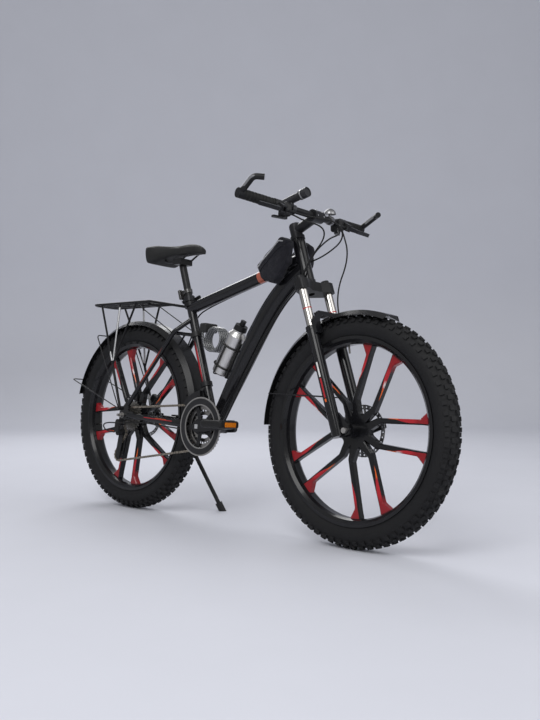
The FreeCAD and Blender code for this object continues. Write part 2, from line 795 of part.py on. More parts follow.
def caliper(middle, outward, y, arm_end, seat):
    tangent = outward.cross(V(0, 1, 0))
    body = rounded_box(V(CALIPER_LENGTH, CALIPER_HEIGHT, CALIPER_HALF_WIDTH * 2), CALIPER_CORNER)
    body = placed(body, V(middle.x, y, middle.z), tangent, V(0, 1, 0))
    slot = Part.makeBox(CALIPER_LENGTH * 2, CALIPER_HEIGHT, CALIPER_SLOT,
                        V(-CALIPER_LENGTH, -CALIPER_HEIGHT, -CALIPER_SLOT / 2))
    inward = V(middle.x, y, middle.z) + outward * (CALIPER_HEIGHT / 4)
    frame = placed(slot, inward, tangent, V(0, 1, 0))
    if (frame.CenterOfMass - inward).dot(outward) > 0:
        frame = turned(frame, inward, V(0, 1, 0), 180)
    arm = rod(V(middle.x, y + CALIPER_HALF_WIDTH / 2, middle.z), arm_end, CALIPER_ARM_RADIUS)
    return biggest(body.fuse(arm).cut([frame, seat]))


# Chain drive

def pitch_radius(teeth):
    return CHAIN_PITCH / (2 * math.sin(math.pi / teeth))


def sprocket(centre, teeth, y, phase_deg, bore):
    radius = pitch_radius(teeth)
    seat = ROLLER_RADIUS + TOOTH_GAP
    step = 360 / teeth
    edges = []
    last = None
    first = None
    for index in range(teeth):
        angle = phase_deg + step * index
        gap = polar(centre, radius, angle, y)
        arc = [gap + heading(angle + 180 + turn) * seat for turn in (SEAT_ARC_DEG, 0, -SEAT_ARC_DEG)]
        arc = [V(point.x, y, point.z) for point in arc]
        tips = []
        for share in (-TOOTH_TIP_SHARE, TOOTH_TIP_SHARE):
            tips.append(polar(centre, radius + TOOTH_RISE, angle + step / 2 + step * share, y))
        if last:
            edges.append(line(last, arc[0]))
        else:
            first = arc[0]
        edges.append(Part.Arc(*arc).toShape())
        edges.append(line(arc[2], tips[0]))
        edges.append(line(tips[0], tips[1]))
        last = tips[1]
    edges.append(line(last, first))
    disc = Part.Face(Part.Wire(edges)).extrude(V(0, TOOTH_THICKNESS, 0))
    disc = moved(disc, V(0, -TOOTH_THICKNESS / 2, 0))
    return disc.cut(across(centre, y - TOOTH_THICKNESS, y + TOOTH_THICKNESS, bore))


GUIDE = REAR_AXLE + V(-GUIDE_BACK, 0, -GUIDE_DROP)


def chain_path(cage_deg):
    tension = polar(GUIDE, CAGE_LENGTH, cage_deg)
    stops = [(BB, pitch_radius(RING_TEETH[DRIVE_RING])), (REAR_AXLE, pitch_radius(COG_TEETH[0])),
             (GUIDE, -pitch_radius(PULLEY_TEETH)), (tension, pitch_radius(PULLEY_TEETH))]
    count = len(stops)
    turns = []
    for index, (centre, radius) in enumerate(stops):
        after, radius_after = stops[(index + 1) % count]
        span = after - centre
        turns.append(math.atan2(span.z, span.x) - math.asin((radius_after - radius) / span.Length))
    pieces = []
    for index, (centre, radius) in enumerate(stops):
        arrive = turns[index - 1]
        leave = turns[index]
        sweep = (leave - arrive) % (2 * math.pi) if radius > 0 else -((arrive - leave) % (2 * math.pi))
        start = arrive - math.pi / 2
        pieces.append((abs(sweep * radius), centre, radius, start, sweep))
        after, radius_after = stops[(index + 1) % count]
        begin = centre + heading(math.degrees(leave) - 90) * radius
        end = after + heading(math.degrees(leave) - 90) * radius_after
        pieces.append(((end - begin).Length, begin, None, end, None))
    return pieces


def chain_point(pieces, place):
    place = place % sum(piece[0] for piece in pieces)
    for length, origin, radius, start, sweep in pieces:
        if place <= length:
            share = place / length
            if radius is None:
                return origin + (start - origin) * share
            return origin + heading(math.degrees(start + sweep * share)) * radius
        place -= length
    return chain_point(pieces, 0)


def next_pin(pieces, place):
    here = chain_point(pieces, place)
    low = place + CHAIN_PITCH * CHAIN_SEARCH_SHARES[0]
    high = place + CHAIN_PITCH * CHAIN_SEARCH_SHARES[1]
    for _ in range(PIN_HALVINGS):
        middle = (low + high) / 2
        if (chain_point(pieces, middle) - here).Length < CHAIN_PITCH:
            low = middle
        else:
            high = middle
    return (low + high) / 2


def walk_chain(cage_deg, links):
    pieces = chain_path(cage_deg)
    places = [0]
    for _ in range(links):
        places.append(next_pin(pieces, places[-1]))
    return pieces, places, places[-1] - sum(piece[0] for piece in pieces)


def solve_chain():
    total = sum(piece[0] for piece in chain_path(CAGE_TARGET_DEG))
    links = 2 * round(total / CHAIN_PITCH / 2)
    low = CAGE_START_DEG
    high = CAGE_STOP_DEG
    for _ in range(CAGE_HALVINGS):
        middle = (low + high) / 2
        if walk_chain(middle, links)[2] > 0:
            high = middle
        else:
            low = middle
    pieces, places, miss = walk_chain(middle, links)
    pins = [chain_point(pieces, place) for place in places[:-1]]
    return middle, pins, miss


CAGE_DEG, CHAIN_PINS, CHAIN_MISS = solve_chain()
TENSION = polar(GUIDE, CAGE_LENGTH, CAGE_DEG)


def pin_phase(centre, teeth):
    radius = pitch_radius(teeth)
    best = min(CHAIN_PINS, key=lambda pin: abs((pin - centre).Length - radius))
    return math.degrees(math.atan2(best.z - centre.z, best.x - centre.x))


def chain_plate(y0, y1):
    radius = PLATE_HEIGHT / 2
    ends = [across(V(x, 0, 0), y0, y1, radius) for x in (0, CHAIN_PITCH)]
    half = radius * PLATE_WAIST_SHARE
    waist = Part.makeBox(CHAIN_PITCH, y1 - y0, half * 2, V(0, y0, -half))
    return joined(ends + [waist])


def chain_link(inner):
    start = ROLLER_HALF
    reach = ROLLER_RADIUS
    if not inner:
        start = ROLLER_HALF + PLATE_THICKNESS + PLATE_GAP
        reach = PIN_RADIUS
    end = start + PLATE_THICKNESS
    parts = [chain_plate(start, end), chain_plate(-end, -start)]
    for x in (0, CHAIN_PITCH):
        barrel = across(V(x, 0, 0), -end, end, reach)
        if inner:
            barrel = across(V(x, 0, 0), -start, start, reach)
        parts.append(barrel)
    link = joined(parts)
    if inner:
        for x in (0, CHAIN_PITCH):
            link = link.cut(across(V(x, 0, 0), -end - OVERRUN, end + OVERRUN, PIN_RADIUS + SHAFT_GAP))
    return link


def chain():
    kinds = (chain_link(True), chain_link(False))
    links = []
    count = len(CHAIN_PINS)
    for index, pin in enumerate(CHAIN_PINS):
        span = CHAIN_PINS[(index + 1) % count] - pin
        start = V(pin.x, CHAIN_Y, pin.z)
        links.append(placed(kinds[index % 2], start, span, span.cross(V(0, 1, 0))))
    return links


def cassette():
    first = CHAIN_Y - COG_SPACING / 2
    body = across_tube(REAR_AXLE, first, -COG_BODY_START, COG_BODY_RADIUS, COG_BORE_RADIUS)
    cogs = [body]
    phase = pin_phase(REAR_AXLE, COG_TEETH[0])
    for index, teeth in enumerate(COG_TEETH):
        cogs.append(sprocket(REAR_AXLE, teeth, CHAIN_Y + index * COG_SPACING, phase, COG_BODY_RADIUS - RUN_GAP))
    return joined(cogs)


def ring_y(index):
    return CHAIN_Y - (index - DRIVE_RING) * RING_SPACING


def chainrings():
    solids = []
    for index, teeth in enumerate(RING_TEETH):
        phase = pin_phase(BB, RING_TEETH[DRIVE_RING])
        bore = pitch_radius(teeth) - RING_BANDS[index]
        solids.append(sprocket(BB, teeth, ring_y(index), phase, bore))
    half = GUARD_THICKNESS / 2
    guard = across_tube(BB, GUARD_Y - half, GUARD_Y + half, GUARD_RADIUS, GUARD_RADIUS - GUARD_BAND)
    solids.append(guard)
    return solids


def spider_posts():
    face = TOOTH_THICKNESS / 2
    inner_radius = pitch_radius(RING_TEETH[0]) - RING_BANDS[0] / 2 - POST_RADIUS / 2
    outer_radius = pitch_radius(RING_TEETH[2]) - RING_BANDS[2] - POST_RADIUS - SEAT_GAP
    middle = ring_y(2) + face + SPIDER_PLATE / 2
    middle_radius = pitch_radius(RING_TEETH[1]) - RING_BANDS[1] + POST_RADIUS
    posts = []
    for index in range(SPIDER_ARMS):
        angle = CRANK_DEG + 180 / SPIDER_ARMS + index * 360 / SPIDER_ARMS
        posts.append(across(polar(BB, inner_radius, angle), middle, ring_y(0) - face, POST_RADIUS))
        posts.append(across(polar(BB, middle_radius, angle), middle, ring_y(1) - face, POST_RADIUS))
        posts.append(across(polar(BB, outer_radius, angle), middle, GUARD_Y + GUARD_THICKNESS / 2, POST_RADIUS))
    return posts


def crank_arm(side):
    angle = CRANK_DEG if side == RIGHT else CRANK_DEG + 180
    tip = polar(BB, CRANK_LENGTH, angle)
    along = heading(angle)
    up = heading(angle + 90)
    outline = [BB - along * CRANK_ROOT_RADIUS - up * CRANK_ROOT_RADIUS,
               BB - along * CRANK_ROOT_RADIUS + up * CRANK_ROOT_RADIUS,
               tip + along * CRANK_TIP_RADIUS + up * CRANK_TIP_RADIUS,
               tip + along * CRANK_TIP_RADIUS - up * CRANK_TIP_RADIUS]
    inner = CRANK_INNER_Y * side
    outer = (CRANK_INNER_Y + CRANK_THICKNESS) * side
    arm = side_plate(outline, inner, outer, CRANK_TIP_RADIUS)
    end = (PEDAL_START_Y + PEDAL_WIDTH) * side
    axle = across(tip, inner, end, PEDAL_AXLE_RADIUS)
    return arm.fuse(axle), tip


def cranks():
    right = crank_arm(RIGHT)[0]
    left = crank_arm(LEFT)[0]
    outer = CRANK_INNER_Y + CRANK_THICKNESS
    spindle = across(BB, -outer, outer, SPINDLE_RADIUS)
    bottom = ring_y(2) + TOOTH_THICKNESS / 2
    top = bottom + SPIDER_PLATE
    hub = across(BB, ring_y(0), -CRANK_INNER_Y, SPIDER_RADIUS)
    arms = []
    reach = pitch_radius(RING_TEETH[2]) - RING_BANDS[2] / 2
    for index in range(SPIDER_ARMS):
        angle = CRANK_DEG + 180 / SPIDER_ARMS + index * 360 / SPIDER_ARMS
        side = heading(angle + 90) * (SPIDER_ARM_WIDTH / 2)
        end = polar(BB, reach, angle)
        arms.append(side_plate([BB - side, BB + side, end + side, end - side], bottom, top, SPIDER_CORNER))
    return right.multiFuse([left, spindle, hub] + arms + spider_posts())


def pedal(side):
    tip = crank_arm(side)[1]
    start = PEDAL_START_Y * side
    middle = V(tip.x, (PEDAL_START_Y + PEDAL_WIDTH / 2) * side, tip.z)
    body = moved(rounded_box(V(PEDAL_LENGTH, PEDAL_WIDTH, PEDAL_THICKNESS), PEDAL_CORNER), middle)
    window_x = (PEDAL_LENGTH - PEDAL_WALL * 2) / 2 - PEDAL_BARREL_RADIUS
    holes = []
    for way in (-1, 1):
        hole = Part.makeBox(window_x, PEDAL_WIDTH - PEDAL_WALL * 2, PEDAL_THICKNESS * 2)
        centre = way * (PEDAL_BARREL_RADIUS + window_x / 2) - window_x / 2
        holes.append(moved(hole, middle + V(centre, PEDAL_WALL - PEDAL_WIDTH / 2, -PEDAL_THICKNESS)))
    holes.append(across(tip, start - OVERRUN * side, (PEDAL_START_Y + PEDAL_WIDTH + OVERRUN) * side,
                        PEDAL_AXLE_RADIUS + SHAFT_GAP))
    solids = [body.cut(holes)]
    for way in (-1, 1):
        lens = Part.makeBox(REFLECTOR_DEPTH, REFLECTOR_LENGTH, REFLECTOR_HEIGHT,
                            V(-REFLECTOR_DEPTH / 2, -REFLECTOR_LENGTH / 2, -REFLECTOR_HEIGHT / 2))
        solids.append(moved(lens, middle + V(way * (PEDAL_LENGTH + REFLECTOR_DEPTH) / 2, 0, 0)))
    return solids


def bottom_bracket():
    half = BB_SHELL_WIDTH / 2
    solids = []
    for side in SIDES:
        sleeve = across_tube(BB, side * half / 2, side * half, BB_CUP_RADIUS - SEAT_GAP, SPINDLE_RADIUS + SHAFT_GAP)
        flange = across_tube(BB, side * half, side * (half + BB_FLANGE), BB_SHELL_RADIUS, SPINDLE_RADIUS + SHAFT_GAP)
        solids.append(sleeve.fuse(flange))
    return solids


def pulley(centre):
    phase = pin_phase(centre, PULLEY_TEETH)
    disc = sprocket(centre, PULLEY_TEETH, CHAIN_Y, phase, PULLEY_BORE)
    reach = pitch_radius(PULLEY_TEETH) + PULLEY_RISE
    return biggest(disc.common(across(centre, CHAIN_Y - TOOTH_THICKNESS, CHAIN_Y + TOOTH_THICKNESS, reach)))


def derailleur_cage():
    along = unit(TENSION - GUIDE)
    side = along.cross(V(0, 1, 0)) * CAGE_RADIUS
    low = GUIDE - along * CAGE_RADIUS
    high = TENSION + along * CAGE_RADIUS
    outline = [low - side, high - side, high + side, low + side]
    plates = []
    for way in (-1, 1):
        start = CHAIN_Y + way * CAGE_HALF_GAP
        plates.append(side_plate(outline, start, start + way * CAGE_PLATE, CAGE_RADIUS * BEND_SHARE * 2))
    reach = CAGE_HALF_GAP + CAGE_PLATE
    for centre in (GUIDE, TENSION):
        plates.append(across(centre, CHAIN_Y - reach, CHAIN_Y + reach, PULLEY_BORE - SHAFT_GAP))
    return joined(plates)


def rear_derailleur():
    hanger = REAR_AXLE + V(-HANGER_BACK, 0, -HANGER_DROP)
    plate = REAR_HUB_WIDTH / 2 + DROPOUT_THICKNESS
    top = across(hanger, -plate, -KNUCKLE_OUT, KNUCKLE_RADIUS)
    inner = CHAIN_Y - CAGE_HALF_GAP - CAGE_PLATE - RUN_GAP
    bottom = across(GUIDE, inner, -LINK_OUT, KNUCKLE_RADIUS)
    side = V(KNUCKLE_RADIUS, 0, 0)
    link = side_plate([hanger - side, GUIDE - side, GUIDE + side, hanger + side], -LINK_OUT, -KNUCKLE_OUT,
                      SPIDER_CORNER)
    return joined([top, bottom, link])


def front_derailleur_cage():
    solids = []
    start, end = FD_ARC
    for way, radii in ((-1, FD_OUTER_RADII), (1, FD_INNER_RADII)):
        y0 = CHAIN_Y + way * FD_HALF_GAP
        y1 = y0 + way * FD_PLATE
        profile = [(radii[0], y0), (radii[1], y0), (radii[1], y1), (radii[0], y1)]
        solids.append(spun(profile, BB, end - start, start))
    reach = FD_HALF_GAP + FD_PLATE
    top = FD_OUTER_RADII[1]
    profile = [(top - FD_PLATE, CHAIN_Y - reach), (top, CHAIN_Y - reach), (top, CHAIN_Y + reach),
               (top - FD_PLATE, CHAIN_Y + reach)]
    solids.append(spun(profile, BB, (end - start) / 4, start))
    solids.append(spun(profile, BB, (end - start) / 4, end - (end - start) / 4))
    mount = polar(BB, FD_OUTER_RADII[1] - FD_SLIDER_RADIUS, (start + end) / 2)
    slider = across(mount, CHAIN_Y + FD_HALF_GAP, -SEAT_TUBE_RADIUS, FD_SLIDER_RADIUS)
    return joined(solids + [slider])


def front_derailleur():
    low = at_seat(FD_UP)
    band = tube(low, at_seat(FD_UP + FD_BAND), FD_BAND_RADIUS, SEAT_TUBE_RADIUS + SEAT_GAP)
    start, end = FD_ARC
    mount = polar(BB, FD_OUTER_RADII[1] - FD_SLIDER_RADIUS, (start + end) / 2)
    outer = CHAIN_Y + FD_HALF_GAP + FD_BODY / 2
    body = across_tube(mount, outer, outer + FD_BODY / 2, FD_SLIDER_RADIUS * FD_SLEEVE_SHARE, FD_SLIDER_RADIUS + SHAFT_GAP)
    arm = rod(V(mount.x, outer + FD_BODY / 4, mount.z), low + SEAT_UP * (FD_BAND / 2), FD_SLIDER_RADIUS * 2)
    clear = [across(mount, CHAIN_Y, 0, FD_SLIDER_RADIUS + SHAFT_GAP),
             rod(BB, at_seat(SEAT_TUBE_LENGTH), SEAT_TUBE_RADIUS + SEAT_GAP)]
    return body.fuse(arm).cut(clear).fuse(band)


# Frame

def bezier(points, share):
    rest = 1 - share
    a, b, c, d = points
    return a * rest ** 3 + b * (3 * rest * rest * share) + c * (3 * rest * share * share) + d * share ** 3


def bezier_heading(points, share):
    rest = 1 - share
    a, b, c, d = points
    return unit((b - a) * (rest * rest) + (c - b) * (2 * rest * share) + (d - c) * (share * share))


def oval_tube(stations, wall):
    outer = []
    inner = []
    for centre, ahead, half_tall, half_wide in stations:
        wide = V(0, 1, 0)
        tall = unit(wide.cross(ahead))
        outer.append(oval(centre, tall, wide, half_tall, half_wide))
        inner.append(oval(centre, tall, wide, half_tall - wall, half_wide - wall))
    return lofted(outer).cut(lofted(inner))


def down_tube_curve():
    start = BB
    end = at_fork(HEAD_LOW + DOWN_TUBE_HEAD_RISE, 0)
    reach = (end - start).Length
    return [start, start + heading(DOWN_TUBE_FOOT_DEG) * (reach * DOWN_TUBE_HANDLE_SHARES[0]),
            end - heading(DOWN_TUBE_HEAD_DEG) * (reach * DOWN_TUBE_HANDLE_SHARES[1]), end]


def down_tube_stations():
    curve = down_tube_curve()
    stations = []
    for share, tall, wide in DOWN_TUBE_SHARES:
        stations.append((bezier(curve, share), bezier_heading(curve, share), DOWN_TUBE_HALF_TALL * tall,
                         DOWN_TUBE_HALF_WIDE * wide))
    return stations


def filled(stations):
    sections = []
    for centre, ahead, half_tall, half_wide in stations:
        sections.append(oval(centre, unit(V(0, 1, 0).cross(ahead)), V(0, 1, 0), half_tall, half_wide))
    return lofted(sections)


def down_tube_space():
    return filled(down_tube_stations())


def top_tube_stations():
    low = at_seat(SEAT_TUBE_LENGTH - TOP_TUBE_SEAT_DROP)
    high = at_fork(HEAD_TOP - TOP_TUBE_HEAD_DROP, 0)
    ahead = unit(high - low)
    return [(end, ahead, TOP_TUBE_HALF_TALL, TOP_TUBE_HALF_WIDE) for end in (low, high)]


def main_frame():
    head_low = at_fork(HEAD_LOW, 0)
    head_top = at_fork(HEAD_TOP, 0)
    seat_top = at_seat(SEAT_TUBE_LENGTH)
    half = BB_SHELL_WIDTH / 2
    head = tube(head_low, head_top, HEAD_TUBE_RADIUS, HEAD_TUBE_BORE)
    shell = across_tube(BB, -half, half, BB_SHELL_RADIUS, BB_CUP_RADIUS)
    head_space = rod(head_low, head_top, HEAD_TUBE_RADIUS)
    shell_space = across(BB, -half, half, BB_SHELL_RADIUS)
    seat = tube(BB, seat_top, SEAT_TUBE_RADIUS, POST_RADIUS_TOP + SHAFT_GAP).cut(shell_space)
    seat_space = rod(BB, seat_top, SEAT_TUBE_RADIUS)
    stations = top_tube_stations()
    top = oval_tube(stations, TUBE_WALL).cut([head_space, seat_space, down_tube_space()])
    down = oval_tube(down_tube_stations(), TUBE_WALL).cut([head_space, seat_space, shell_space])
    return [head, shell, seat, biggest(top), biggest(down)]


def biggest(shape):
    return max(shape.Solids, key=lambda solid: solid.Volume)


def dropout_points(shares):
    return [REAR_AXLE + V(u * DROPOUT_REACH, 0, v * DROPOUT_REACH) for u, v in shares]


def dropout(side):
    inner = side * REAR_HUB_WIDTH / 2
    outer = inner + side * DROPOUT_THICKNESS
    shares = DROPOUT_SHARES + HANGER_SHARES if side == RIGHT else DROPOUT_SHARES
    plate = side_plate(dropout_points(shares), inner, outer, DROPOUT_CORNER)
    return plate.cut(across(REAR_AXLE, inner - side, outer + side, AXLE_RADIUS + SEAT_GAP))


def seatstay_points(side):
    middle = side * (REAR_HUB_WIDTH + DROPOUT_THICKNESS) / 2
    top = at_seat(SEAT_TUBE_LENGTH - SEATSTAY_DROP, 0, side * SEATSTAY_TOP_Y)
    end = dropout_points([SEATSTAY_END_SHARES])[0] + V(0, middle, 0)
    shoulder = top + (end - top) * SEATSTAY_SHOULDER_SHARE
    return [top, V(shoulder.x, side * SEATSTAY_SHOULDER_Y, shoulder.z), end]


def rear_triangle():
    seat_space = rod(BB, at_seat(SEAT_TUBE_LENGTH), SEAT_TUBE_RADIUS + SEAT_GAP)
    room = BB_SHELL_WIDTH / 2 + BB_FLANGE + RUN_GAP
    shell_space = across(BB, -room, room, BB_SHELL_RADIUS + SEAT_GAP)
    solids = []
    for side in SIDES:
        plate = dropout(side)
        solids.append(plate)
        stay = bent_rod(seatstay_points(side), SEATSTAY_BEND, SEATSTAY_RADIUS)
        solids.append(biggest(stay.cut([plate, seat_space])))
        solids.append(biggest(chainstay(side).cut([plate, shell_space])))
    solids.append(seatstay_bridge(solids))
    return solids


def chainstay(side):
    span = REAR_AXLE - BB
    sections = []
    for share, offset, tall, wide in CHAINSTAY_SHARES:
        centre = BB + span * share + V(0, side * offset * CHAINSTAY_OFFSET, 0)
        sections.append(oval(centre, V(0, 0, 1), V(0, 1, 0), CHAINSTAY_HALF_TALL * tall,
                             CHAINSTAY_HALF_TALL * wide))
    return lofted(sections)


def bridge_point(side):
    points = seatstay_points(side)
    return points[1] + (points[2] - points[1]) * BRIDGE_SHARE


def seatstay_bridge(stays):
    bar = rod(bridge_point(RIGHT), bridge_point(LEFT), BRIDGE_RADIUS)
    return biggest(bar.cut(stays))


def rear_axle():
    plate = REAR_HUB_WIDTH / 2 + DROPOUT_THICKNESS
    end = plate + WASHER_THICKNESS + NUT_THICKNESS + AXLE_END
    solids = [across(REAR_AXLE, -end, end, AXLE_RADIUS)]
    for side in SIDES:
        face = side * plate
        mid = side * (plate + WASHER_THICKNESS)
        solids.append(across_tube(REAR_AXLE, face, mid, WASHER_RADIUS, AXLE_RADIUS))
        solids.append(across_tube(REAR_AXLE, mid, mid + side * NUT_THICKNESS, NUT_RADIUS, AXLE_RADIUS))
        inner = side * REAR_HUB_WIDTH / 2
        hub = side * (REAR_HUB_WIDTH / 2 - HUB_INSET + RUN_GAP)
        if side == RIGHT:
            hub = CHAIN_Y - COG_SPACING / 2 - RUN_GAP
        solids.append(across_tube(REAR_AXLE, hub, inner, WASHER_RADIUS, AXLE_RADIUS))
    return joined(solids)


def headset():
    solids = []
    for start, way in ((HEAD_TOP, 1), (HEAD_LOW, -1)):
        end = start + way * (HEADSET_STACK - RUN_GAP)
        cup = tube(at_fork(start, 0), at_fork(end, 0), HEAD_TUBE_RADIUS + OVERRUN, HEAD_TUBE_BORE)
        race = tube(at_fork(start, 0), at_fork(end, 0), HEAD_TUBE_BORE - SEAT_GAP, STEERER_RADIUS + SHAFT_GAP)
        solids.append(cup)
        solids.append(race)
    return solids


# Seat

def seat_clamp():
    top = SEAT_TUBE_LENGTH
    low = at_seat(top - COLLAR_HEIGHT)
    ring = rod(low, at_seat(top), COLLAR_RADIUS)
    lugs = []
    middle = top - COLLAR_HEIGHT / 2
    back = -COLLAR_RADIUS - COLLAR_LUG / 2
    for side in SIDES:
        lugs.append(rod(at_seat(middle, back, side), at_seat(middle, back, side * COLLAR_LUG), COLLAR_LUG))
    collar = joined([ring] + lugs)
    bore = rod(at_seat(top - COLLAR_HEIGHT * 2), at_seat(top + COLLAR_HEIGHT), SEAT_TUBE_RADIUS + SEAT_GAP)
    end = seat_qr_pivot().y - QR_CAM_RADIUS - RUN_GAP
    skewer = rod(at_seat(middle, back, -COLLAR_LUG * 2), at_seat(middle, back, end), QR_SKEWER_RADIUS)
    return [collar.cut([bore, skewer]), skewer]


def seat_qr_pivot():
    return at_seat(SEAT_TUBE_LENGTH - COLLAR_HEIGHT / 2, -COLLAR_RADIUS - COLLAR_LUG / 2,
                   COLLAR_RADIUS + OVERRUN / 2)


def quick_lever(pivot, pin, along, out):
    cam = rod(pivot - pin * QR_CAM_RADIUS, pivot + pin * QR_CAM_RADIUS, QR_CAM_RADIUS)
    half = pin * QR_CAM_RADIUS
    thick = out * LEVER_THICKNESS
    end = along * QR_LENGTH
    points = [pivot - half, pivot + half, pivot + half + end, pivot - half + end]
    blade = slab(points, QR_CAM_RADIUS * BEND_SHARE, thick)
    return cam.fuse(blade)


def seat_qr_lever():
    return quick_lever(seat_qr_pivot(), SEAT_UP, SEAT_FORWARD, V(0, 1, 0))


def seatpost():
    post = tube(at_seat(SEAT_TUBE_LENGTH - POST_INSERT), at_seat(SEAT_TUBE_LENGTH + POST_EXPOSED),
                POST_RADIUS_TOP, POST_RADIUS_TOP - TUBE_WALL)
    return post


def saddle_point(share, height, y=0):
    return V(SADDLE_NOSE_X - SADDLE_LENGTH * share, y, SADDLE_TOP_Z + SADDLE_HEIGHT * height)


def saddle():
    sections = []
    for share, wide, top, bottom, bulge in SADDLE_SHARES:
        half = SADDLE_WIDTH * wide
        inner = half * (1 - SADDLE_CROWN_SHARE)
        shoulder = top - (top - bottom) * bulge
        corners = [saddle_point(share, bottom, -inner), saddle_point(share, bottom, inner),
                   saddle_point(share, shoulder, half), saddle_point(share, shoulder, -half)]
        waist = (bottom + shoulder) / 2
        left = Part.Arc(corners[1], saddle_point(share, waist, half), corners[2]).toShape()
        over = Part.Arc(corners[2], saddle_point(share, top, 0), corners[3]).toShape()
        right = Part.Arc(corners[3], saddle_point(share, waist, -half), corners[0]).toShape()
        sections.append(Part.Wire([line(corners[0], corners[1]), left, over, right]))
    return lofted(sections)


def saddle_clamp_centre():
    return at_seat(SEAT_TUBE_LENGTH + POST_EXPOSED)


def saddle_rails(cushion):
    centre = saddle_clamp_centre()
    level = centre.z + SADDLE_CLAMP_TALL / 2
    solids = []
    for side in SIDES:
        y = side * RAIL_SPACING / 2
        ends = [saddle_point(share, 0, y) for share in RAIL_SHARES]
        points = [V(ends[0].x, y, SADDLE_TOP_Z - SADDLE_HEIGHT * RAIL_END_SHARE), V(ends[1].x, y, level),
                  V(ends[2].x, y, level), V(ends[3].x, y, SADDLE_TOP_Z - SADDLE_HEIGHT * RAIL_END_SHARE)]
        solids.append(biggest(bent_rod(points, RAIL_SPACING, RAIL_RADIUS).cut(cushion)))
    half = RAIL_SPACING / 2 + RAIL_RADIUS * 2
    block = Part.makeBox(SADDLE_CLAMP, half * 2, SADDLE_CLAMP_TALL,
                         V(centre.x - SADDLE_CLAMP / 2, -half, level - SADDLE_CLAMP_TALL / 2))
    block = block.cut(solids + [rod(centre - SEAT_UP * POST_EXPOSED, centre, POST_RADIUS_TOP)])
    return solids + [block]


def seat_reflector():
    level = SEAT_TUBE_LENGTH + SEAT_REFLECTOR_UP
    low = at_seat(level - SEAT_CLIP / 2)
    high = at_seat(level + SEAT_CLIP / 2)
    ring = tube(low, high, POST_RADIUS_TOP + SEAT_CLIP / 4, POST_RADIUS_TOP + SEAT_GAP)
    arm = rod(at_seat(level, -POST_RADIUS_TOP), at_seat(level, -SEAT_REFLECTOR_BACK), SEAT_CLIP / 3)
    arm = arm.cut(rod(low, high, POST_RADIUS_TOP + SEAT_GAP))
    box = rounded_box(V(SEAT_REFLECTOR_DEPTH, SEAT_REFLECTOR_SIZE, SEAT_REFLECTOR_SIZE), SEAT_CLIP / 4)
    box = placed(box, at_seat(level, -SEAT_REFLECTOR_BACK - SEAT_REFLECTOR_DEPTH / 3), SEAT_FORWARD, SEAT_UP)
    return joined([ring, arm, box])


# Fork

def stanchions():
    solids = []
    for side in SIDES:
        y = side * LEG_SPACING / 2
        solids.append(tube(at_fork(STANCHION_LOW, LEG_OFFSET, y), at_fork(AXLE_TO_CROWN, LEG_OFFSET, y),
                           STANCHION_RADIUS, STANCHION_RADIUS - STANCHION_WALL))
    return solids


def fork_crown():
    half = LEG_SPACING / 2
    upper = [(u * half, v * half) for u, v in CROWN_SHARES]
    lower = [(u, -v) for u, v in reversed(upper)]
    low = AXLE_TO_CROWN - CROWN_HEIGHT
    points = [at_fork(low, u, v) for u, v in upper + lower]
    plate = slab(points, CROWN_CORNER, STEER_UP * CROWN_HEIGHT)
    steerer = tube(at_fork(low, 0), at_fork(STEERER_TOP, 0), STEERER_RADIUS, STEERER_RADIUS - STEERER_WALL)
    body = plate.fuse(steerer)
    body = body.cut(rod(at_fork(low - OVERRUN, 0), at_fork(STEERER_TOP, 0), STEERER_RADIUS - STEERER_WALL))
    knobs = []
    for side in SIDES:
        y = side * half
        body = body.cut(rod(at_fork(low - OVERRUN, LEG_OFFSET, y), at_fork(AXLE_TO_CROWN + OVERRUN, LEG_OFFSET, y),
                            STANCHION_RADIUS + SEAT_GAP))
        knobs.append(rod(at_fork(AXLE_TO_CROWN, LEG_OFFSET, y),
                         at_fork(AXLE_TO_CROWN + CROWN_KNOB_HEIGHT, LEG_OFFSET, y), CROWN_KNOB_RADIUS))
    return [body] + knobs


def fork_leg(side):
    y = side * LEG_SPACING / 2
    return rod(at_fork(-FORK_FOOT, LEG_OFFSET, y), at_fork(LOWER_TOP, LEG_OFFSET, y), LOWER_RADIUS + SEAT_GAP)


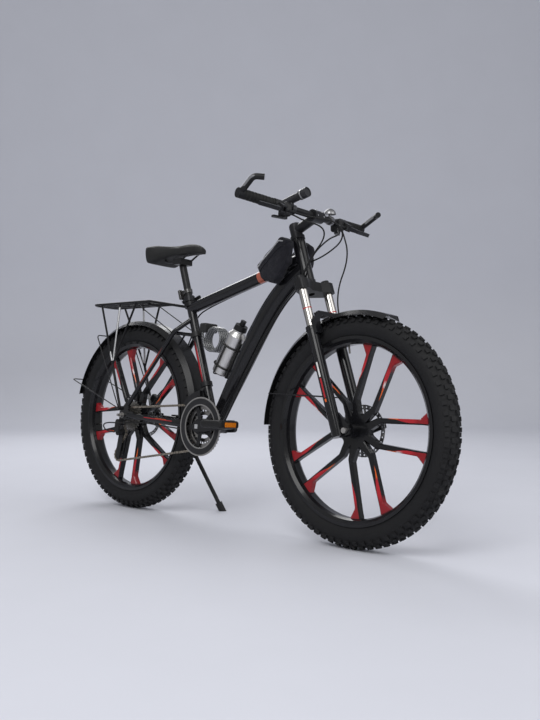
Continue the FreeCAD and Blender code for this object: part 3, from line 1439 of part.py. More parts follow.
def fork_lowers():
    parts = []
    half = LEG_SPACING / 2
    for side in SIDES:
        y = side * half
        parts.append(rod(at_fork(-FORK_FOOT, LEG_OFFSET, y), at_fork(LOWER_TOP, LEG_OFFSET, y), LOWER_RADIUS))
        parts.append(rod(at_fork(LOWER_TOP - SEAL_HEIGHT, LEG_OFFSET, y), at_fork(LOWER_TOP, LEG_OFFSET, y),
                         SEAL_RADIUS))
        outline = [(-FORK_TAB_LOW, LEG_OFFSET), (-FORK_TAB_LOW, FORK_RAKE + FORK_TAB_FRONT),
                   (FORK_TAB_LOW, FORK_RAKE + FORK_TAB_FRONT), (FORK_TAB_HIGH, LEG_OFFSET + FORK_TAB_FRONT),
                   (FORK_TAB_HIGH, LEG_OFFSET)]
        points = [at_fork(up, out, side * FORK_TAB_INSIDE) for up, out in outline]
        parts.append(slab(points, FORK_TAB_CORNER, V(0, side * FORK_TAB_THICKNESS, 0)))
    wide = half + LOWER_RADIUS * ARCH_WIDE_SHARE
    narrow = FENDER_WIDTH / 2 + ARCH_GAP
    loop = [(ARCH_LOW, wide), (ARCH_OUTSIDE - ARCH_SHOULDER, wide), (ARCH_OUTSIDE, wide - ARCH_SHOULDER)]
    inside = [(ARCH_INSIDE, narrow - ARCH_SHOULDER / 2), (ARCH_INSIDE - ARCH_SHOULDER / 2, narrow), (ARCH_LOW, narrow)]
    left = [at_fork(up, ARCH_BACK, y) for up, y in loop]
    right = [at_fork(up, ARCH_BACK, -y) for up, y in reversed(loop)]
    back = [at_fork(up, ARCH_BACK, -y) for up, y in reversed(inside)]
    front = [at_fork(up, ARCH_BACK, y) for up, y in inside]
    parts.append(slab(left + right + back + front, FORK_TAB_CORNER, STEER_FORWARD * (ARCH_FRONT - ARCH_BACK)))
    body = joined(parts)
    holes = [across(FRONT_AXLE, -LEG_SPACING, LEG_SPACING, AXLE_RADIUS + SEAT_GAP)]
    for side in SIDES:
        y = side * half
        holes.append(rod(at_fork(LOWER_FLOOR, LEG_OFFSET, y), at_fork(LOWER_TOP, LEG_OFFSET, y),
                         STANCHION_RADIUS + SHAFT_GAP))
        holes.append(rod(at_fork(LOWER_TOP, LEG_OFFSET, y), at_fork(ARCH_OUTSIDE + OVERRUN, LEG_OFFSET, y),
                         SEAL_RADIUS))
    return body.cut(holes)


def front_axle():
    inside = FORK_TAB_INSIDE
    outside = inside + FORK_TAB_THICKNESS
    solids = [across(FRONT_AXLE, -outside - NUT_THICKNESS, outside + RUN_GAP, AXLE_RADIUS)]
    solids.append(across(FRONT_AXLE, -outside - NUT_THICKNESS, -outside, NUT_RADIUS))
    for side in SIDES:
        hub = FRONT_HUB_WIDTH / 2 - HUB_INSET + RUN_GAP
        solids.append(across(FRONT_AXLE, side * hub, side * inside, NUT_RADIUS))
    return joined(solids)


def front_qr_pivot():
    return FRONT_AXLE + V(0, FORK_TAB_INSIDE + FORK_TAB_THICKNESS + QR_CAM_RADIUS + RUN_GAP * 2, 0)


def front_qr_lever():
    return quick_lever(front_qr_pivot(), STEER_UP, STEER_FORWARD, V(0, 1, 0))


# Cockpit

def stem():
    low = at_fork(STEM_LOW, 0)
    high = at_fork(STEERER_TOP, 0)
    clamp = rod(low, high, STEM_RADIUS)
    start = at_fork(STEM_LOW + STEM_HEIGHT / 2, 0)
    ahead = unit(BAR_CENTRE - start)
    tall = unit(V(0, 1, 0).cross(ahead))
    arm = lofted([oval(start, tall, V(0, 1, 0), STEM_HALF_TALL, STEM_HALF_WIDE),
                  oval(BAR_CENTRE, tall, V(0, 1, 0), STEM_HALF_TALL, STEM_HALF_WIDE)])
    half = STEM_CLAMP_WIDTH / 2
    bar = across(BAR_CENTRE, -half, half, STEM_RADIUS)
    body = joined([clamp, arm, bar])
    body = body.cut([rod(low - STEER_UP, high + STEER_UP, STEERER_RADIUS + SEAT_GAP),
                     across(BAR_CENTRE, -half - OVERRUN, half + OVERRUN, BAR_SLEEVE_RADIUS + SEAT_GAP)])
    cap = rod(high, at_fork(STEERER_TOP + CAP_HEIGHT, 0), CAP_RADIUS)
    return [body, cap]


def bar_corner(side):
    return BAR_CENTRE + V(0, side * BAR_CENTRE_HALF, 0)


def bar_end(side):
    return BAR_CENTRE + V(-BAR_SWEEP, side * BAR_HALF, BAR_RISE)


def bar_frame(side):
    out = unit(bar_end(side) - bar_corner(side))
    ahead = unit(V(1, 0, 0) - out * out.x)
    up = ahead.cross(out) * side
    return out, ahead, up


def at_bar(side, inset, ahead=0, up=0):
    out, forward, top = bar_frame(side)
    return bar_end(side) - out * inset + forward * ahead + top * up


def handlebar():
    points = [bar_end(RIGHT), bar_corner(RIGHT), bar_corner(LEFT), bar_end(LEFT)]
    bar = bent_rod(points, BAR_BEND, BAR_RADIUS)
    half = STEM_CLAMP_WIDTH / 2 + OVERRUN
    return bar.fuse(across(BAR_CENTRE, -half, half, BAR_SLEEVE_RADIUS))


def grip(side):
    start = BAREND_CLAMP
    body = tube(at_bar(side, start), at_bar(side, start + GRIP_LENGTH), GRIP_RADIUS - GRIP_RIB_RISE,
                BAR_RADIUS + SEAT_GAP)
    step = GRIP_LENGTH / GRIP_RIBS
    ribs = []
    for index in range(GRIP_RIBS):
        low = start + step * (index + GRIP_RIB_SHARE / 2)
        ribs.append(tube(at_bar(side, low), at_bar(side, low + step * GRIP_RIB_SHARE), GRIP_RADIUS,
                         BAR_RADIUS + SEAT_GAP))
    return body.multiFuse(ribs)


def bar_end_horn(side):
    clamp = rod(at_bar(side, 0), at_bar(side, BAREND_CLAMP - RUN_GAP), GRIP_RADIUS)
    middle = BAREND_CLAMP / 2
    out = bar_frame(side)[0]
    tip = at_bar(side, middle, BAREND_FORWARD, BAREND_UP)
    horn = bent_rod([at_bar(side, middle), tip, tip - out * BAREND_IN + bar_frame(side)[1] * BAREND_CLAMP],
                    BAREND_BEND, BAREND_RADIUS)
    return clamp.fuse(horn).cut(rod(at_bar(side, -OVERRUN), at_bar(side, GRIP_LENGTH), BAR_RADIUS + SEAT_GAP))


def lever_ahead(side):
    ahead, up = bar_frame(side)[1:]
    angle = math.radians(LEVER_DROP_DEG)
    return ahead * math.cos(angle) - up * math.sin(angle)


def lever_pivot(side):
    return at_bar(side, POD_START + PERCH_WIDTH) + lever_ahead(side) * PERCH_REACH


def lever_normal(side):
    return bar_frame(side)[0].cross(lever_ahead(side))


def brake_lever(side):
    out = bar_frame(side)[0]
    ahead = lever_ahead(side)
    normal = lever_normal(side)
    start = at_bar(side, POD_START + PERCH_WIDTH) - normal * LEVER_HALF_TALL
    points = [start + out * (u * LEVER_LENGTH) + ahead * (v * LEVER_REACH) for u, v in LEVER_SHARES]
    blade = slab(points, LEVER_HALF_TALL, normal * (LEVER_HALF_TALL * 2))
    pin = normal * (LEVER_HALF_TALL * 2)
    pivot = lever_pivot(side)
    return blade.cut(rod(pivot - pin, pivot + pin, LEVER_PIN_RADIUS + SHAFT_GAP))


def control_pod(side):
    out, ahead, up = bar_frame(side)
    reach = lever_ahead(side)
    normal = lever_normal(side)
    clear = LEVER_HALF_TALL + RUN_GAP * 2
    near = POD_START + PERCH_WIDTH / 2
    clamp = rod(at_bar(side, POD_START), at_bar(side, POD_START + PERCH_WIDTH * 2), PERCH_RADIUS)
    pivot = lever_pivot(side)
    cheeks = []
    for way in (-1, 1):
        base = at_bar(side, near) + normal * (way * clear)
        corner = base - out * (PERCH_WIDTH * PERCH_CHEEK_SHARE)
        points = [base, corner, corner + reach * PERCH_REACH,
                  pivot + normal * (way * clear) + reach * LEVER_HALF_TALL + out * LEVER_HALF_TALL]
        cheeks.append(slab(points, LEVER_HALF_TALL / 2, normal * (way * LEVER_THICKNESS)))
    pin = normal * (clear + LEVER_THICKNESS)
    cheeks.append(rod(pivot - pin, pivot + pin, LEVER_PIN_RADIUS))
    box = rounded_box(V(SHIFTER_DEEP, SHIFTER_WIDTH, SHIFTER_TALL), SHIFTER_CORNER)
    spot = at_bar(side, POD_START + PERCH_WIDTH * 2 + SHIFTER_WIDTH / 2, 0, -SHIFTER_TALL / 5)
    pod = placed(box, spot, ahead, up)
    exit_point = lever_exit(side)
    cheeks.append(rod(exit_point + out * (FERRULE / 2 + PERCH_WIDTH / 5), exit_point, BARREL_RADIUS))
    bore = rod(at_bar(side, 0), at_bar(side, POD_START * 2), BAR_RADIUS + SEAT_GAP)
    return joined([clamp, pod] + cheeks).cut(bore)


def lever_exit(side):
    inset = POD_START + PERCH_WIDTH * 2 + FERRULE / 2
    return at_bar(side, inset) + lever_ahead(side) * (PERCH_REACH * EXIT_SHARE)


def shifter_exit(side):
    inset = POD_START + PERCH_WIDTH * 2 + SHIFTER_WIDTH + RUN_GAP
    return at_bar(side, inset, SHIFTER_DEEP / 3, -SHIFTER_TALL / 2)


def thumb_pivot(side):
    return at_bar(side, POD_START + PERCH_WIDTH * 2 + SHIFTER_WIDTH / 2, 0,
                  -SHIFTER_TALL * THUMB_DROP_SHARE - THUMB_THICKNESS / 2 - RUN_GAP)


def thumb_lever(side):
    out, ahead, up = bar_frame(side)
    middle = thumb_pivot(side) - up * (THUMB_THICKNESS / 2)
    half = ahead * (THUMB_WIDTH / 2)
    end = out * THUMB_LENGTH - ahead * THUMB_WIDTH
    root = out * (THUMB_WIDTH / 2)
    points = [middle - root - half, middle - root + half, middle + end + half, middle + end - half]
    boss = rod(middle, middle + up * THUMB_THICKNESS, THUMB_WIDTH * THUMB_BOSS_SHARE)
    return joined([slab(points, THUMB_WIDTH / 4, up * THUMB_THICKNESS), boss])


def bar_spot(y):
    side = LEFT if y > 0 else RIGHT
    out = bar_frame(side)[0]
    return bar_corner(side) + out * ((abs(y) - BAR_CENTRE_HALF) / abs(out.y)), side


def bar_clip(y):
    spot, side = bar_spot(y)
    out = bar_frame(side)[0] * (CLIP_WIDTH / 2)
    return tube(spot - out, spot + out, CLIP_RADIUS, BAR_RADIUS + SEAT_GAP), spot, side


def headlight():
    clip, spot, side = bar_clip(LIGHT_Y)
    ahead = heading(LIGHT_TILT_DEG)
    up = heading(LIGHT_TILT_DEG + 90)
    middle = spot + up * LIGHT_RISE
    back = middle - ahead * (LIGHT_LENGTH * LIGHT_BACK_SHARE)
    front = back + ahead * LIGHT_LENGTH
    body = rod(back, front, LIGHT_RADIUS)
    head = rod(front - ahead * LIGHT_HEAD_LENGTH, front, LIGHT_HEAD_RADIUS)
    lens = rod(front - ahead * (LIGHT_HEAD_LENGTH / 3), front + ahead, LIGHT_RADIUS)
    neck = rod(spot + up * (BAR_RADIUS + OVERRUN), middle, CLIP_WIDTH / 2)
    torch = joined([clip, neck, body, head]).cut(lens)
    glass = rod(front - ahead * (LIGHT_HEAD_LENGTH / 3), front - ahead * OVERRUN, LIGHT_RADIUS - SEAT_GAP)
    return [torch, glass]


def bell():
    clip, spot, side = bar_clip(BELL_Y)
    ahead, up = bar_frame(side)[1:]
    base = spot + up * (BAR_RADIUS + BELL_STAND)
    stem_rod = rod(spot + up * (BAR_RADIUS + OVERRUN), base + up * BELL_HEIGHT / 2, BELL_STEM_RADIUS)
    dome = Part.makeSphere(BELL_RADIUS, V(0, 0, 0), V(0, 0, 1), 0, 90, 360)
    dome = placed(dome, base, ahead, up)
    return [clip.fuse(stem_rod).cut(dome), dome]


# Fenders

def fender_strip(centre, start, end):
    half = FENDER_WIDTH / 2
    low = FENDER_RADIUS - FENDER_SKIRT
    flat = half - FENDER_SKIRT
    outer = [(low, half), (FENDER_RADIUS, flat)]
    inner = [(FENDER_RADIUS - FENDER_THICKNESS, flat - FENDER_THICKNESS / 2), (low, half - FENDER_THICKNESS)]
    side = [(radius, -y) for radius, y in outer]
    back = [(radius, -y) for radius, y in reversed(inner)]
    points = outer + list(reversed(side)) + back + list(reversed(inner))
    return spun(points, centre, end - start, start)


def stay(centre, angle, side, foot):
    low = FENDER_RADIUS - FENDER_SKIRT / 2
    edge = polar(centre, low, angle, side * (FENDER_WIDTH / 2))
    knee = polar(centre, low - STAY_BEND * 2, angle, side * STAY_Y)
    return bent_rod([edge - V(0, side * FENDER_SKIRT / 2, 0), V(edge.x, knee.y, edge.z), foot], STAY_BEND, STAY_RADIUS)


def front_fender():
    strips = [fender_strip(FRONT_AXLE, start, end) for start, end in FRONT_FENDER_ARCS]
    half = FENDER_BRACKET_WIDTH / 2
    inner = FENDER_RADIUS - FENDER_THICKNESS
    angle = (FRONT_FENDER_ARCS[0][1] + FRONT_FENDER_ARCS[1][0]) / 2
    span = math.degrees(FENDER_BRACKET_WIDTH / FENDER_RADIUS)
    profile = [(inner - FENDER_THICKNESS, -half), (inner, -half), (inner, half), (inner - FENDER_THICKNESS, half)]
    strips.append(spun(profile, FRONT_AXLE, span, angle - span / 2))
    for side in SIDES:
        foot = at_fork(FRONT_STAY_UP, LEG_OFFSET - LOWER_RADIUS, side * LEG_SPACING / 2)
        edge = FENDER_RADIUS - FENDER_SKIRT + STAY_RADIUS
        low = polar(FRONT_AXLE, edge, FRONT_STAY_DEG, side * (FENDER_WIDTH / 2 - STAY_RADIUS / 2))
        strips.append(rod(low, foot, STAY_RADIUS).cut(fork_leg(side)))
    return joined(strips)


def rear_fender():
    start, end = REAR_FENDER_ARC
    parts = [fender_strip(REAR_AXLE, start, end)]
    for side in SIDES:
        foot = V(REAR_AXLE.x - RACK_FOOT_BACK, side * STAY_Y, REAR_AXLE.z + RACK_FOOT_UP)
        for angle in REAR_STAY_DEGS:
            parts.append(stay(REAR_AXLE, angle, side, foot))
    middle = (bridge_point(RIGHT) + bridge_point(LEFT)) * 0.5
    down = unit(REAR_AXLE - middle)
    gap = (REAR_AXLE - middle).Length - FENDER_RADIUS
    parts.append(rod(middle + down * BRIDGE_RADIUS, middle + down * gap + down, BRIDGE_RADIUS / 2))
    return joined(parts)


# Rack

def rack_x(share):
    return RACK_FRONT_X + (RACK_BACK_X - RACK_FRONT_X) * share


def rear_rack():
    clamp_up = SEAT_TUBE_LENGTH - RACK_CLAMP_DROP - COLLAR_HEIGHT / 2
    low = at_seat(clamp_up - RACK_CLAMP_TALL / 2)
    high = at_seat(clamp_up + RACK_CLAMP_TALL / 2)
    ring = tube(low, high, RACK_CLAMP_RADIUS, SEAT_TUBE_RADIUS + SEAT_GAP)
    nose = at_seat(clamp_up, -RACK_CLAMP_RADIUS + RACK_RADIUS)
    loop = []
    for side in SIDES:
        y = side * RACK_HALF_WIDTH
        rail = [V(nose.x, side * RACK_RADIUS * 2, nose.z), V(RACK_FRONT_X, y, RACK_Z), V(RACK_BACK_X, y, RACK_Z)]
        loop = loop + rail if side == RIGHT else loop + list(reversed(rail))
    parts = [ring, bent_rod(loop, RACK_BEND, RACK_RADIUS)]
    for share in RACK_BAR_SHARES:
        x = rack_x(share)
        parts.append(rod(V(x, -RACK_HALF_WIDTH, RACK_Z), V(x, RACK_HALF_WIDTH, RACK_Z), RACK_BAR_RADIUS))
    for side in SIDES:
        y = side * RACK_SLAT_Y
        parts.append(rod(V(rack_x(RACK_BAR_SHARES[0]), y, RACK_Z), V(RACK_BACK_X, y, RACK_Z), RACK_BAR_RADIUS))
        join = REAR_AXLE + V(-RACK_JOIN_BACK, side * RACK_LEG_Y, RACK_JOIN_UP)
        for share in RACK_LEG_SHARES:
            top = V(rack_x(share), side * RACK_HALF_WIDTH, RACK_Z)
            parts.append(rod(top, join, RACK_BAR_RADIUS))
        foot = REAR_AXLE + V(-RACK_FOOT_BACK, side * RACK_LEG_Y, RACK_FOOT_UP)
        parts.append(rod(join, foot, RACK_RADIUS))
        parts.append(Part.makeSphere(RACK_RADIUS, join))
        inner = REAR_HUB_WIDTH / 2 + DROPOUT_THICKNESS
        parts.append(across(foot, side * inner, side * (RACK_LEG_Y + RACK_RADIUS), RACK_RADIUS))
        strut = bridge_point(side) + V(0, side * SEATSTAY_RADIUS, 0)
        parts.append(rod(V(rack_x(RACK_STRUT_SHARE), side * RACK_HALF_WIDTH, RACK_Z), strut, RACK_BAR_RADIUS / 2))
    block = rounded_box(V(RACK_BLOCK, RACK_BLOCK * 2, RACK_BLOCK / 2), RACK_BAR_RADIUS)
    parts.append(moved(block, V(rack_x(RACK_BAR_SHARES[0]), 0, RACK_Z - RACK_BLOCK / 4)))
    body = joined(parts)
    stays = [bent_rod(seatstay_points(side), SEATSTAY_BEND, SEATSTAY_RADIUS + SEAT_GAP) for side in SIDES]
    seat_space = rod(BB, at_seat(SEAT_TUBE_LENGTH), SEAT_TUBE_RADIUS + SEAT_GAP)
    return biggest(body.cut(stays + [seat_space, filled(top_tube_stations())]))


# Bottle, lock and bag

def bottle_place(along, off, y=0):
    ahead = heading(BOTTLE_TILT_DEG)
    above = heading(BOTTLE_TILT_DEG + 90)
    return BB + ahead * along + above * off + V(0, y, 0)


def water_bottle():
    length = BOTTLE_LENGTH
    shoulder = length + BOTTLE_SHOULDER
    profile = [(0, 0), (BOTTLE_RADIUS - BOTTLE_DENT * 2, 0), (BOTTLE_RADIUS, BOTTLE_DENT * 2), (BOTTLE_RADIUS, length),
               (BOTTLE_NECK_RADIUS, shoulder), (0, shoulder)]
    cap_top = shoulder + BOTTLE_CAP_HEIGHT
    cap = [(0, shoulder), (BOTTLE_CAP_RADIUS, shoulder), (BOTTLE_CAP_RADIUS - BOTTLE_DENT, cap_top),
           (BOTTLE_SPOUT_RADIUS, cap_top), (BOTTLE_SPOUT_RADIUS, cap_top + BOTTLE_SPOUT_HEIGHT),
           (0, cap_top + BOTTLE_SPOUT_HEIGHT)]
    solids = []
    for points in (profile, cap):
        shape = spun(points, V(0, 0, 0))
        shape.rotate(V(0, 0, 0), V(1, 0, 0), 90)
        solids.append(placed(shape, bottle_place(BOTTLE_ALONG, BOTTLE_OFF), V(0, 1, 0), heading(BOTTLE_TILT_DEG)))
    return solids


def bottle_cage():
    radius = BOTTLE_RADIUS + CAGE_GAP + CAGE_ROD_RADIUS
    parts = []
    ahead = heading(BOTTLE_TILT_DEG)
    above = heading(BOTTLE_TILT_DEG + 90)
    low = BOTTLE_ALONG - CAGE_ROD_RADIUS - CAGE_GAP
    for share in CAGE_RING_SHARES:
        centre = bottle_place(BOTTLE_ALONG + BOTTLE_LENGTH * share, BOTTLE_OFF)
        ring = Part.makeTorus(radius, CAGE_ROD_RADIUS, V(0, 0, 0), V(0, 0, 1), 0, 360, 360)
        parts.append(placed(ring, centre, above, ahead))
    for side in SIDES:
        y = side * radius
        top = bottle_place(BOTTLE_ALONG + BOTTLE_LENGTH * CAGE_RING_SHARES[1], BOTTLE_OFF, y)
        parts.append(bent_rod([top, bottle_place(low, BOTTLE_OFF, y), bottle_place(low, BOTTLE_OFF, 0)],
                              CAGE_ROD_RADIUS * CAGE_BEND_SHARE, CAGE_ROD_RADIUS - CAGE_GAP))
    inner = BOTTLE_OFF - radius + CAGE_ROD_RADIUS
    points = [bottle_place(BOTTLE_ALONG + BOTTLE_LENGTH * share, inner - CAGE_ROD_RADIUS * 2, y * CAGE_PLATE_WIDTH / 2)
              for share, y in ((0, -1), (0, 1), (CAGE_PLATE_SHARE, 1), (CAGE_PLATE_SHARE, -1))]
    plate = slab(points, CAGE_ROD_RADIUS, above * (CAGE_ROD_RADIUS * 2 - CAGE_GAP))
    pads = []
    for share in CAGE_PAD_SHARES:
        start = bottle_place(BOTTLE_ALONG + BOTTLE_LENGTH * share, inner - CAGE_ROD_RADIUS)
        pad = rod(start, start - above * (BOTTLE_OFF / 2), CAGE_PLATE_WIDTH / 3)
        pads.append(pad.cut(down_tube_space()))
    return joined([plate] + parts + pads)


def biarc(start, start_way, end, end_way):
    span = end - start
    both = start_way + end_way
    dot = 2 * (1 - start_way.dot(end_way))
    reach = (-span.dot(both) + math.sqrt(span.dot(both) ** 2 + dot * span.dot(span))) / dot
    middle = (start + end + (start_way - end_way) * reach) * 0.5
    edges = []
    for first, last, way in ((start, middle, start_way), (middle, end, end_way)):
        chord = unit(last - first)
        lean = way - chord * way.dot(chord)
        half = (last - first).Length / 2
        bulge = unit(lean) * (half * math.tan(chord.getAngle(way) / 2))
        if first is middle:
            bulge = bulge * -1
        edges.append(Part.Arc(first, (first + last) * 0.5 + bulge, last).toShape())
    return edges


COIL_CENTRE = V(BB.x + COIL_ALONG, 0, BB.z + COIL_UP)


def coil_point(turn):
    angle = math.pi + 2 * math.pi * turn
    y = COIL_PITCH * (turn - (COIL_TURNS + COIL_END_SHARE) / 2)
    place = COIL_CENTRE + V(COIL_RADIUS * math.cos(angle), y, COIL_RADIUS * math.sin(angle))
    rate = 2 * math.pi * COIL_RADIUS
    way = unit(V(-rate * math.sin(angle), COIL_PITCH, rate * math.cos(angle)))
    return place, way


def lock_path():
    steps = round((COIL_TURNS + COIL_END_SHARE) * COIL_STEPS)
    places = [coil_point(index / COIL_STEPS) for index in range(steps + 1)]
    start, start_way = places[0]
    end, end_way = places[-1]
    edges = [line(start - start_way * LOCK_RISE, start)]
    for (first, first_way), (last, last_way) in zip(places, places[1:]):
        edges.extend(biarc(first, first_way, last, last_way))
    edges.append(line(end, end + end_way * LOCK_RISE))
    return Part.Wire(edges)


def build_lock():
    path = lock_path()
    cable = swept(path, COIL_WIRE)
    gap = COIL_PITCH * math.cos(math.atan(COIL_PITCH / (2 * math.pi * COIL_RADIUS))) - COIL_WIRE * 2
    print("lock cable length", round(path.Length), "least gap to itself", round(gap, 2))
    print("lock cable volume share", round(cable.Volume / (math.pi * COIL_WIRE ** 2 * path.Length), 4))
    ends = [path.Edges[0].valueAt(path.Edges[0].FirstParameter), path.Edges[-1].valueAt(path.Edges[-1].LastParameter)]
    half = LOCK_BLOCK / 2
    middle = V((ends[0].x + ends[1].x) / 2 - COIL_WIRE, 0, (ends[0].z + ends[1].z) / 2 + COIL_WIRE)
    box = moved(rounded_box(V(LOCK_BLOCK, LOCK_HALF_WIDTH * 2, LOCK_BLOCK), LOCK_CORNER), middle)
    up = (middle - BB).dot(SEAT_UP)
    ring = rod(at_seat(up - LOCK_CLIP_TALL / 2), at_seat(up + LOCK_CLIP_TALL / 2), LOCK_CLIP_RADIUS)
    arm = rod(at_seat(up), middle, LOCK_CLIP_TALL / 3)
    seat_space = rod(BB, at_seat(SEAT_TUBE_LENGTH), SEAT_TUBE_RADIUS + SEAT_GAP)
    body = joined([box, ring, arm]).cut(seat_space).cut(cable)
    return cable, biggest(body)


def frame_bag():
    ahead = unit(at_fork(HEAD_TOP - TOP_TUBE_HEAD_DROP, 0) - at_seat(SEAT_TUBE_LENGTH - TOP_TUBE_SEAT_DROP))
    above = ahead.cross(V(0, 1, 0))
    if above.z < 0:
        above = above * -1
    start = at_fork(HEAD_TOP - TOP_TUBE_HEAD_DROP, 0) - ahead * BAG_BACK + above * TOP_TUBE_HALF_TALL
    points = [start + ahead * (u * BAG_LENGTH) + above * (v * BAG_LENGTH) for u, v in BAG_SHARES]
    solids = []
    for side in SIDES:
        pouch = side_plate(points, side * BAG_HALF_IN, side * BAG_HALF_OUT, BAG_CORNER)
        edges = [edge for edge in pouch.Edges if edge.BoundBox.YLength < SEAT_GAP]
        solids.append(pouch.makeFillet(BAG_EDGE, edges))
    top = TOP_TUBE_HALF_TALL + SEAT_GAP
    low = start - above * (top + TOP_TUBE_HALF_TALL) + above * TOP_TUBE_HALF_TALL
    straps = []
    for share in BAG_STRAP_SHARES:
        base = low + ahead * (share * BAG_LENGTH) + above * top
        corners = [base + ahead * way * BAG_STRAP * BAG_STRAP_WIDE_SHARE + V(0, y, 0)
                   for way, y in ((-1, -BAG_HALF_IN), (1, -BAG_HALF_IN), (1, BAG_HALF_IN), (-1, BAG_HALF_IN))]
        straps.append(slab(corners, BAG_STRAP / 2, above * BAG_STRAP))
    return solids + straps


# Side stand

def stand_ways():
    pivot = V(STAND_X, STAND_Y, STAND_Z)
    foot = V(STAND_FOOT_X, STAND_FOOT_Y, 0)
    way = unit(foot - pivot)
    folded = unit(V(-1, way.y * STAND_TUCK_SHARE, 0))
    axis = unit(way.cross(folded))
    return pivot, way, axis


def ground_level(tread):
    leaned = turned(tread, V(0, 0, 0), V(1, 0, 0), -LEAN_DEG)
    return leaned.BoundBox.ZMin


def kickstand_leg(tread):
    pivot, way, axis = stand_ways()
    angle = math.radians(LEAN_DEG)
    down = V(0, math.sin(angle), -math.cos(angle))
    level = -ground_level(tread)
    run = (level - pivot.dot(down)) / way.dot(down)
    end = pivot + way * run
    leg = rod(pivot, end, STAND_RADIUS)
    eye = rod(pivot - axis * (STAND_EYE_WIDTH / 2), pivot + axis * (STAND_EYE_WIDTH / 2), STAND_EYE_RADIUS)
    foot = rod(end - way * STAND_FOOT_LENGTH, end + way * STAND_FOOT_LENGTH, STAND_FOOT_RADIUS)
    size = STAND_FOOT_LENGTH * STAND_CUT_SHARE
    block = Part.makeBox(size * 2, size * 2, size, V(-size, -size, 0))
    below = placed(block, end, V(1, 0, 0), down)
    pin = axis * STAND_EYE_WIDTH
    arm = joined([leg, eye]).cut([rod(pivot - pin, pivot + pin, STAND_PIN_RADIUS + SHAFT_GAP), foot, below])
    return [biggest(arm), foot.cut(below)]


def kickstand_bracket():
    pivot, way, axis = stand_ways()
    inner = STAND_EYE_WIDTH / 2 + RUN_GAP
    share, offset, tall, wide = CHAINSTAY_SHARES[STAND_STAY_ROW]
    along = unit(REAR_AXLE - BB)
    lift = V(0, 1, 0).cross(along)
    middle = BB + along * ((pivot.x - BB.x) / along.x) + V(0, CHAINSTAY_OFFSET * offset, 0)
    reach = lift * (CHAINSTAY_HALF_TALL * tall + STAND_PLATE_GAP + STAND_PLATE / 2)
    beside = V(0, CHAINSTAY_HALF_TALL * wide + STAND_PIN_RADIUS + OVERRUN, 0)
    half_wide = beside.y + STAND_PIN_RADIUS * 2
    body = []
    for side in SIDES:
        plate = rounded_box(V(STAND_CLAMP, half_wide * 2, STAND_PLATE), STAND_PLATE / 4)
        body.append(placed(plate, middle + reach * side, along, lift))
        body.append(rod(middle - reach + beside * side, middle + reach + beside * side, STAND_PIN_RADIUS))
        start = pivot + axis * (side * inner)
        end = pivot + axis * (side * (inner + STAND_CHEEK))
        body.append(rod(start, end, STAND_EYE_RADIUS))
        body.append(rod((start + end) * 0.5, middle - reach, STAND_PLATE / 2))
    pin = axis * (inner + STAND_CHEEK)
    body.append(rod(pivot - pin, pivot + pin, STAND_PIN_RADIUS))
    sweep = rod(pivot - axis * inner, pivot + axis * inner, STAND_EYE_RADIUS * 2)
    sweep = sweep.cut(rod(pivot - axis * inner, pivot + axis * inner, STAND_PIN_RADIUS))
    return biggest(joined(body).cut(sweep))


# Cables

def cable(side, start, route):
    out = bar_frame(side)[0]
    points = [start - out * RUN_GAP, start - out * FERRULE] + [V(*place) for place in route]
    return swept(bent_path(points), HOUSING_RADIUS)


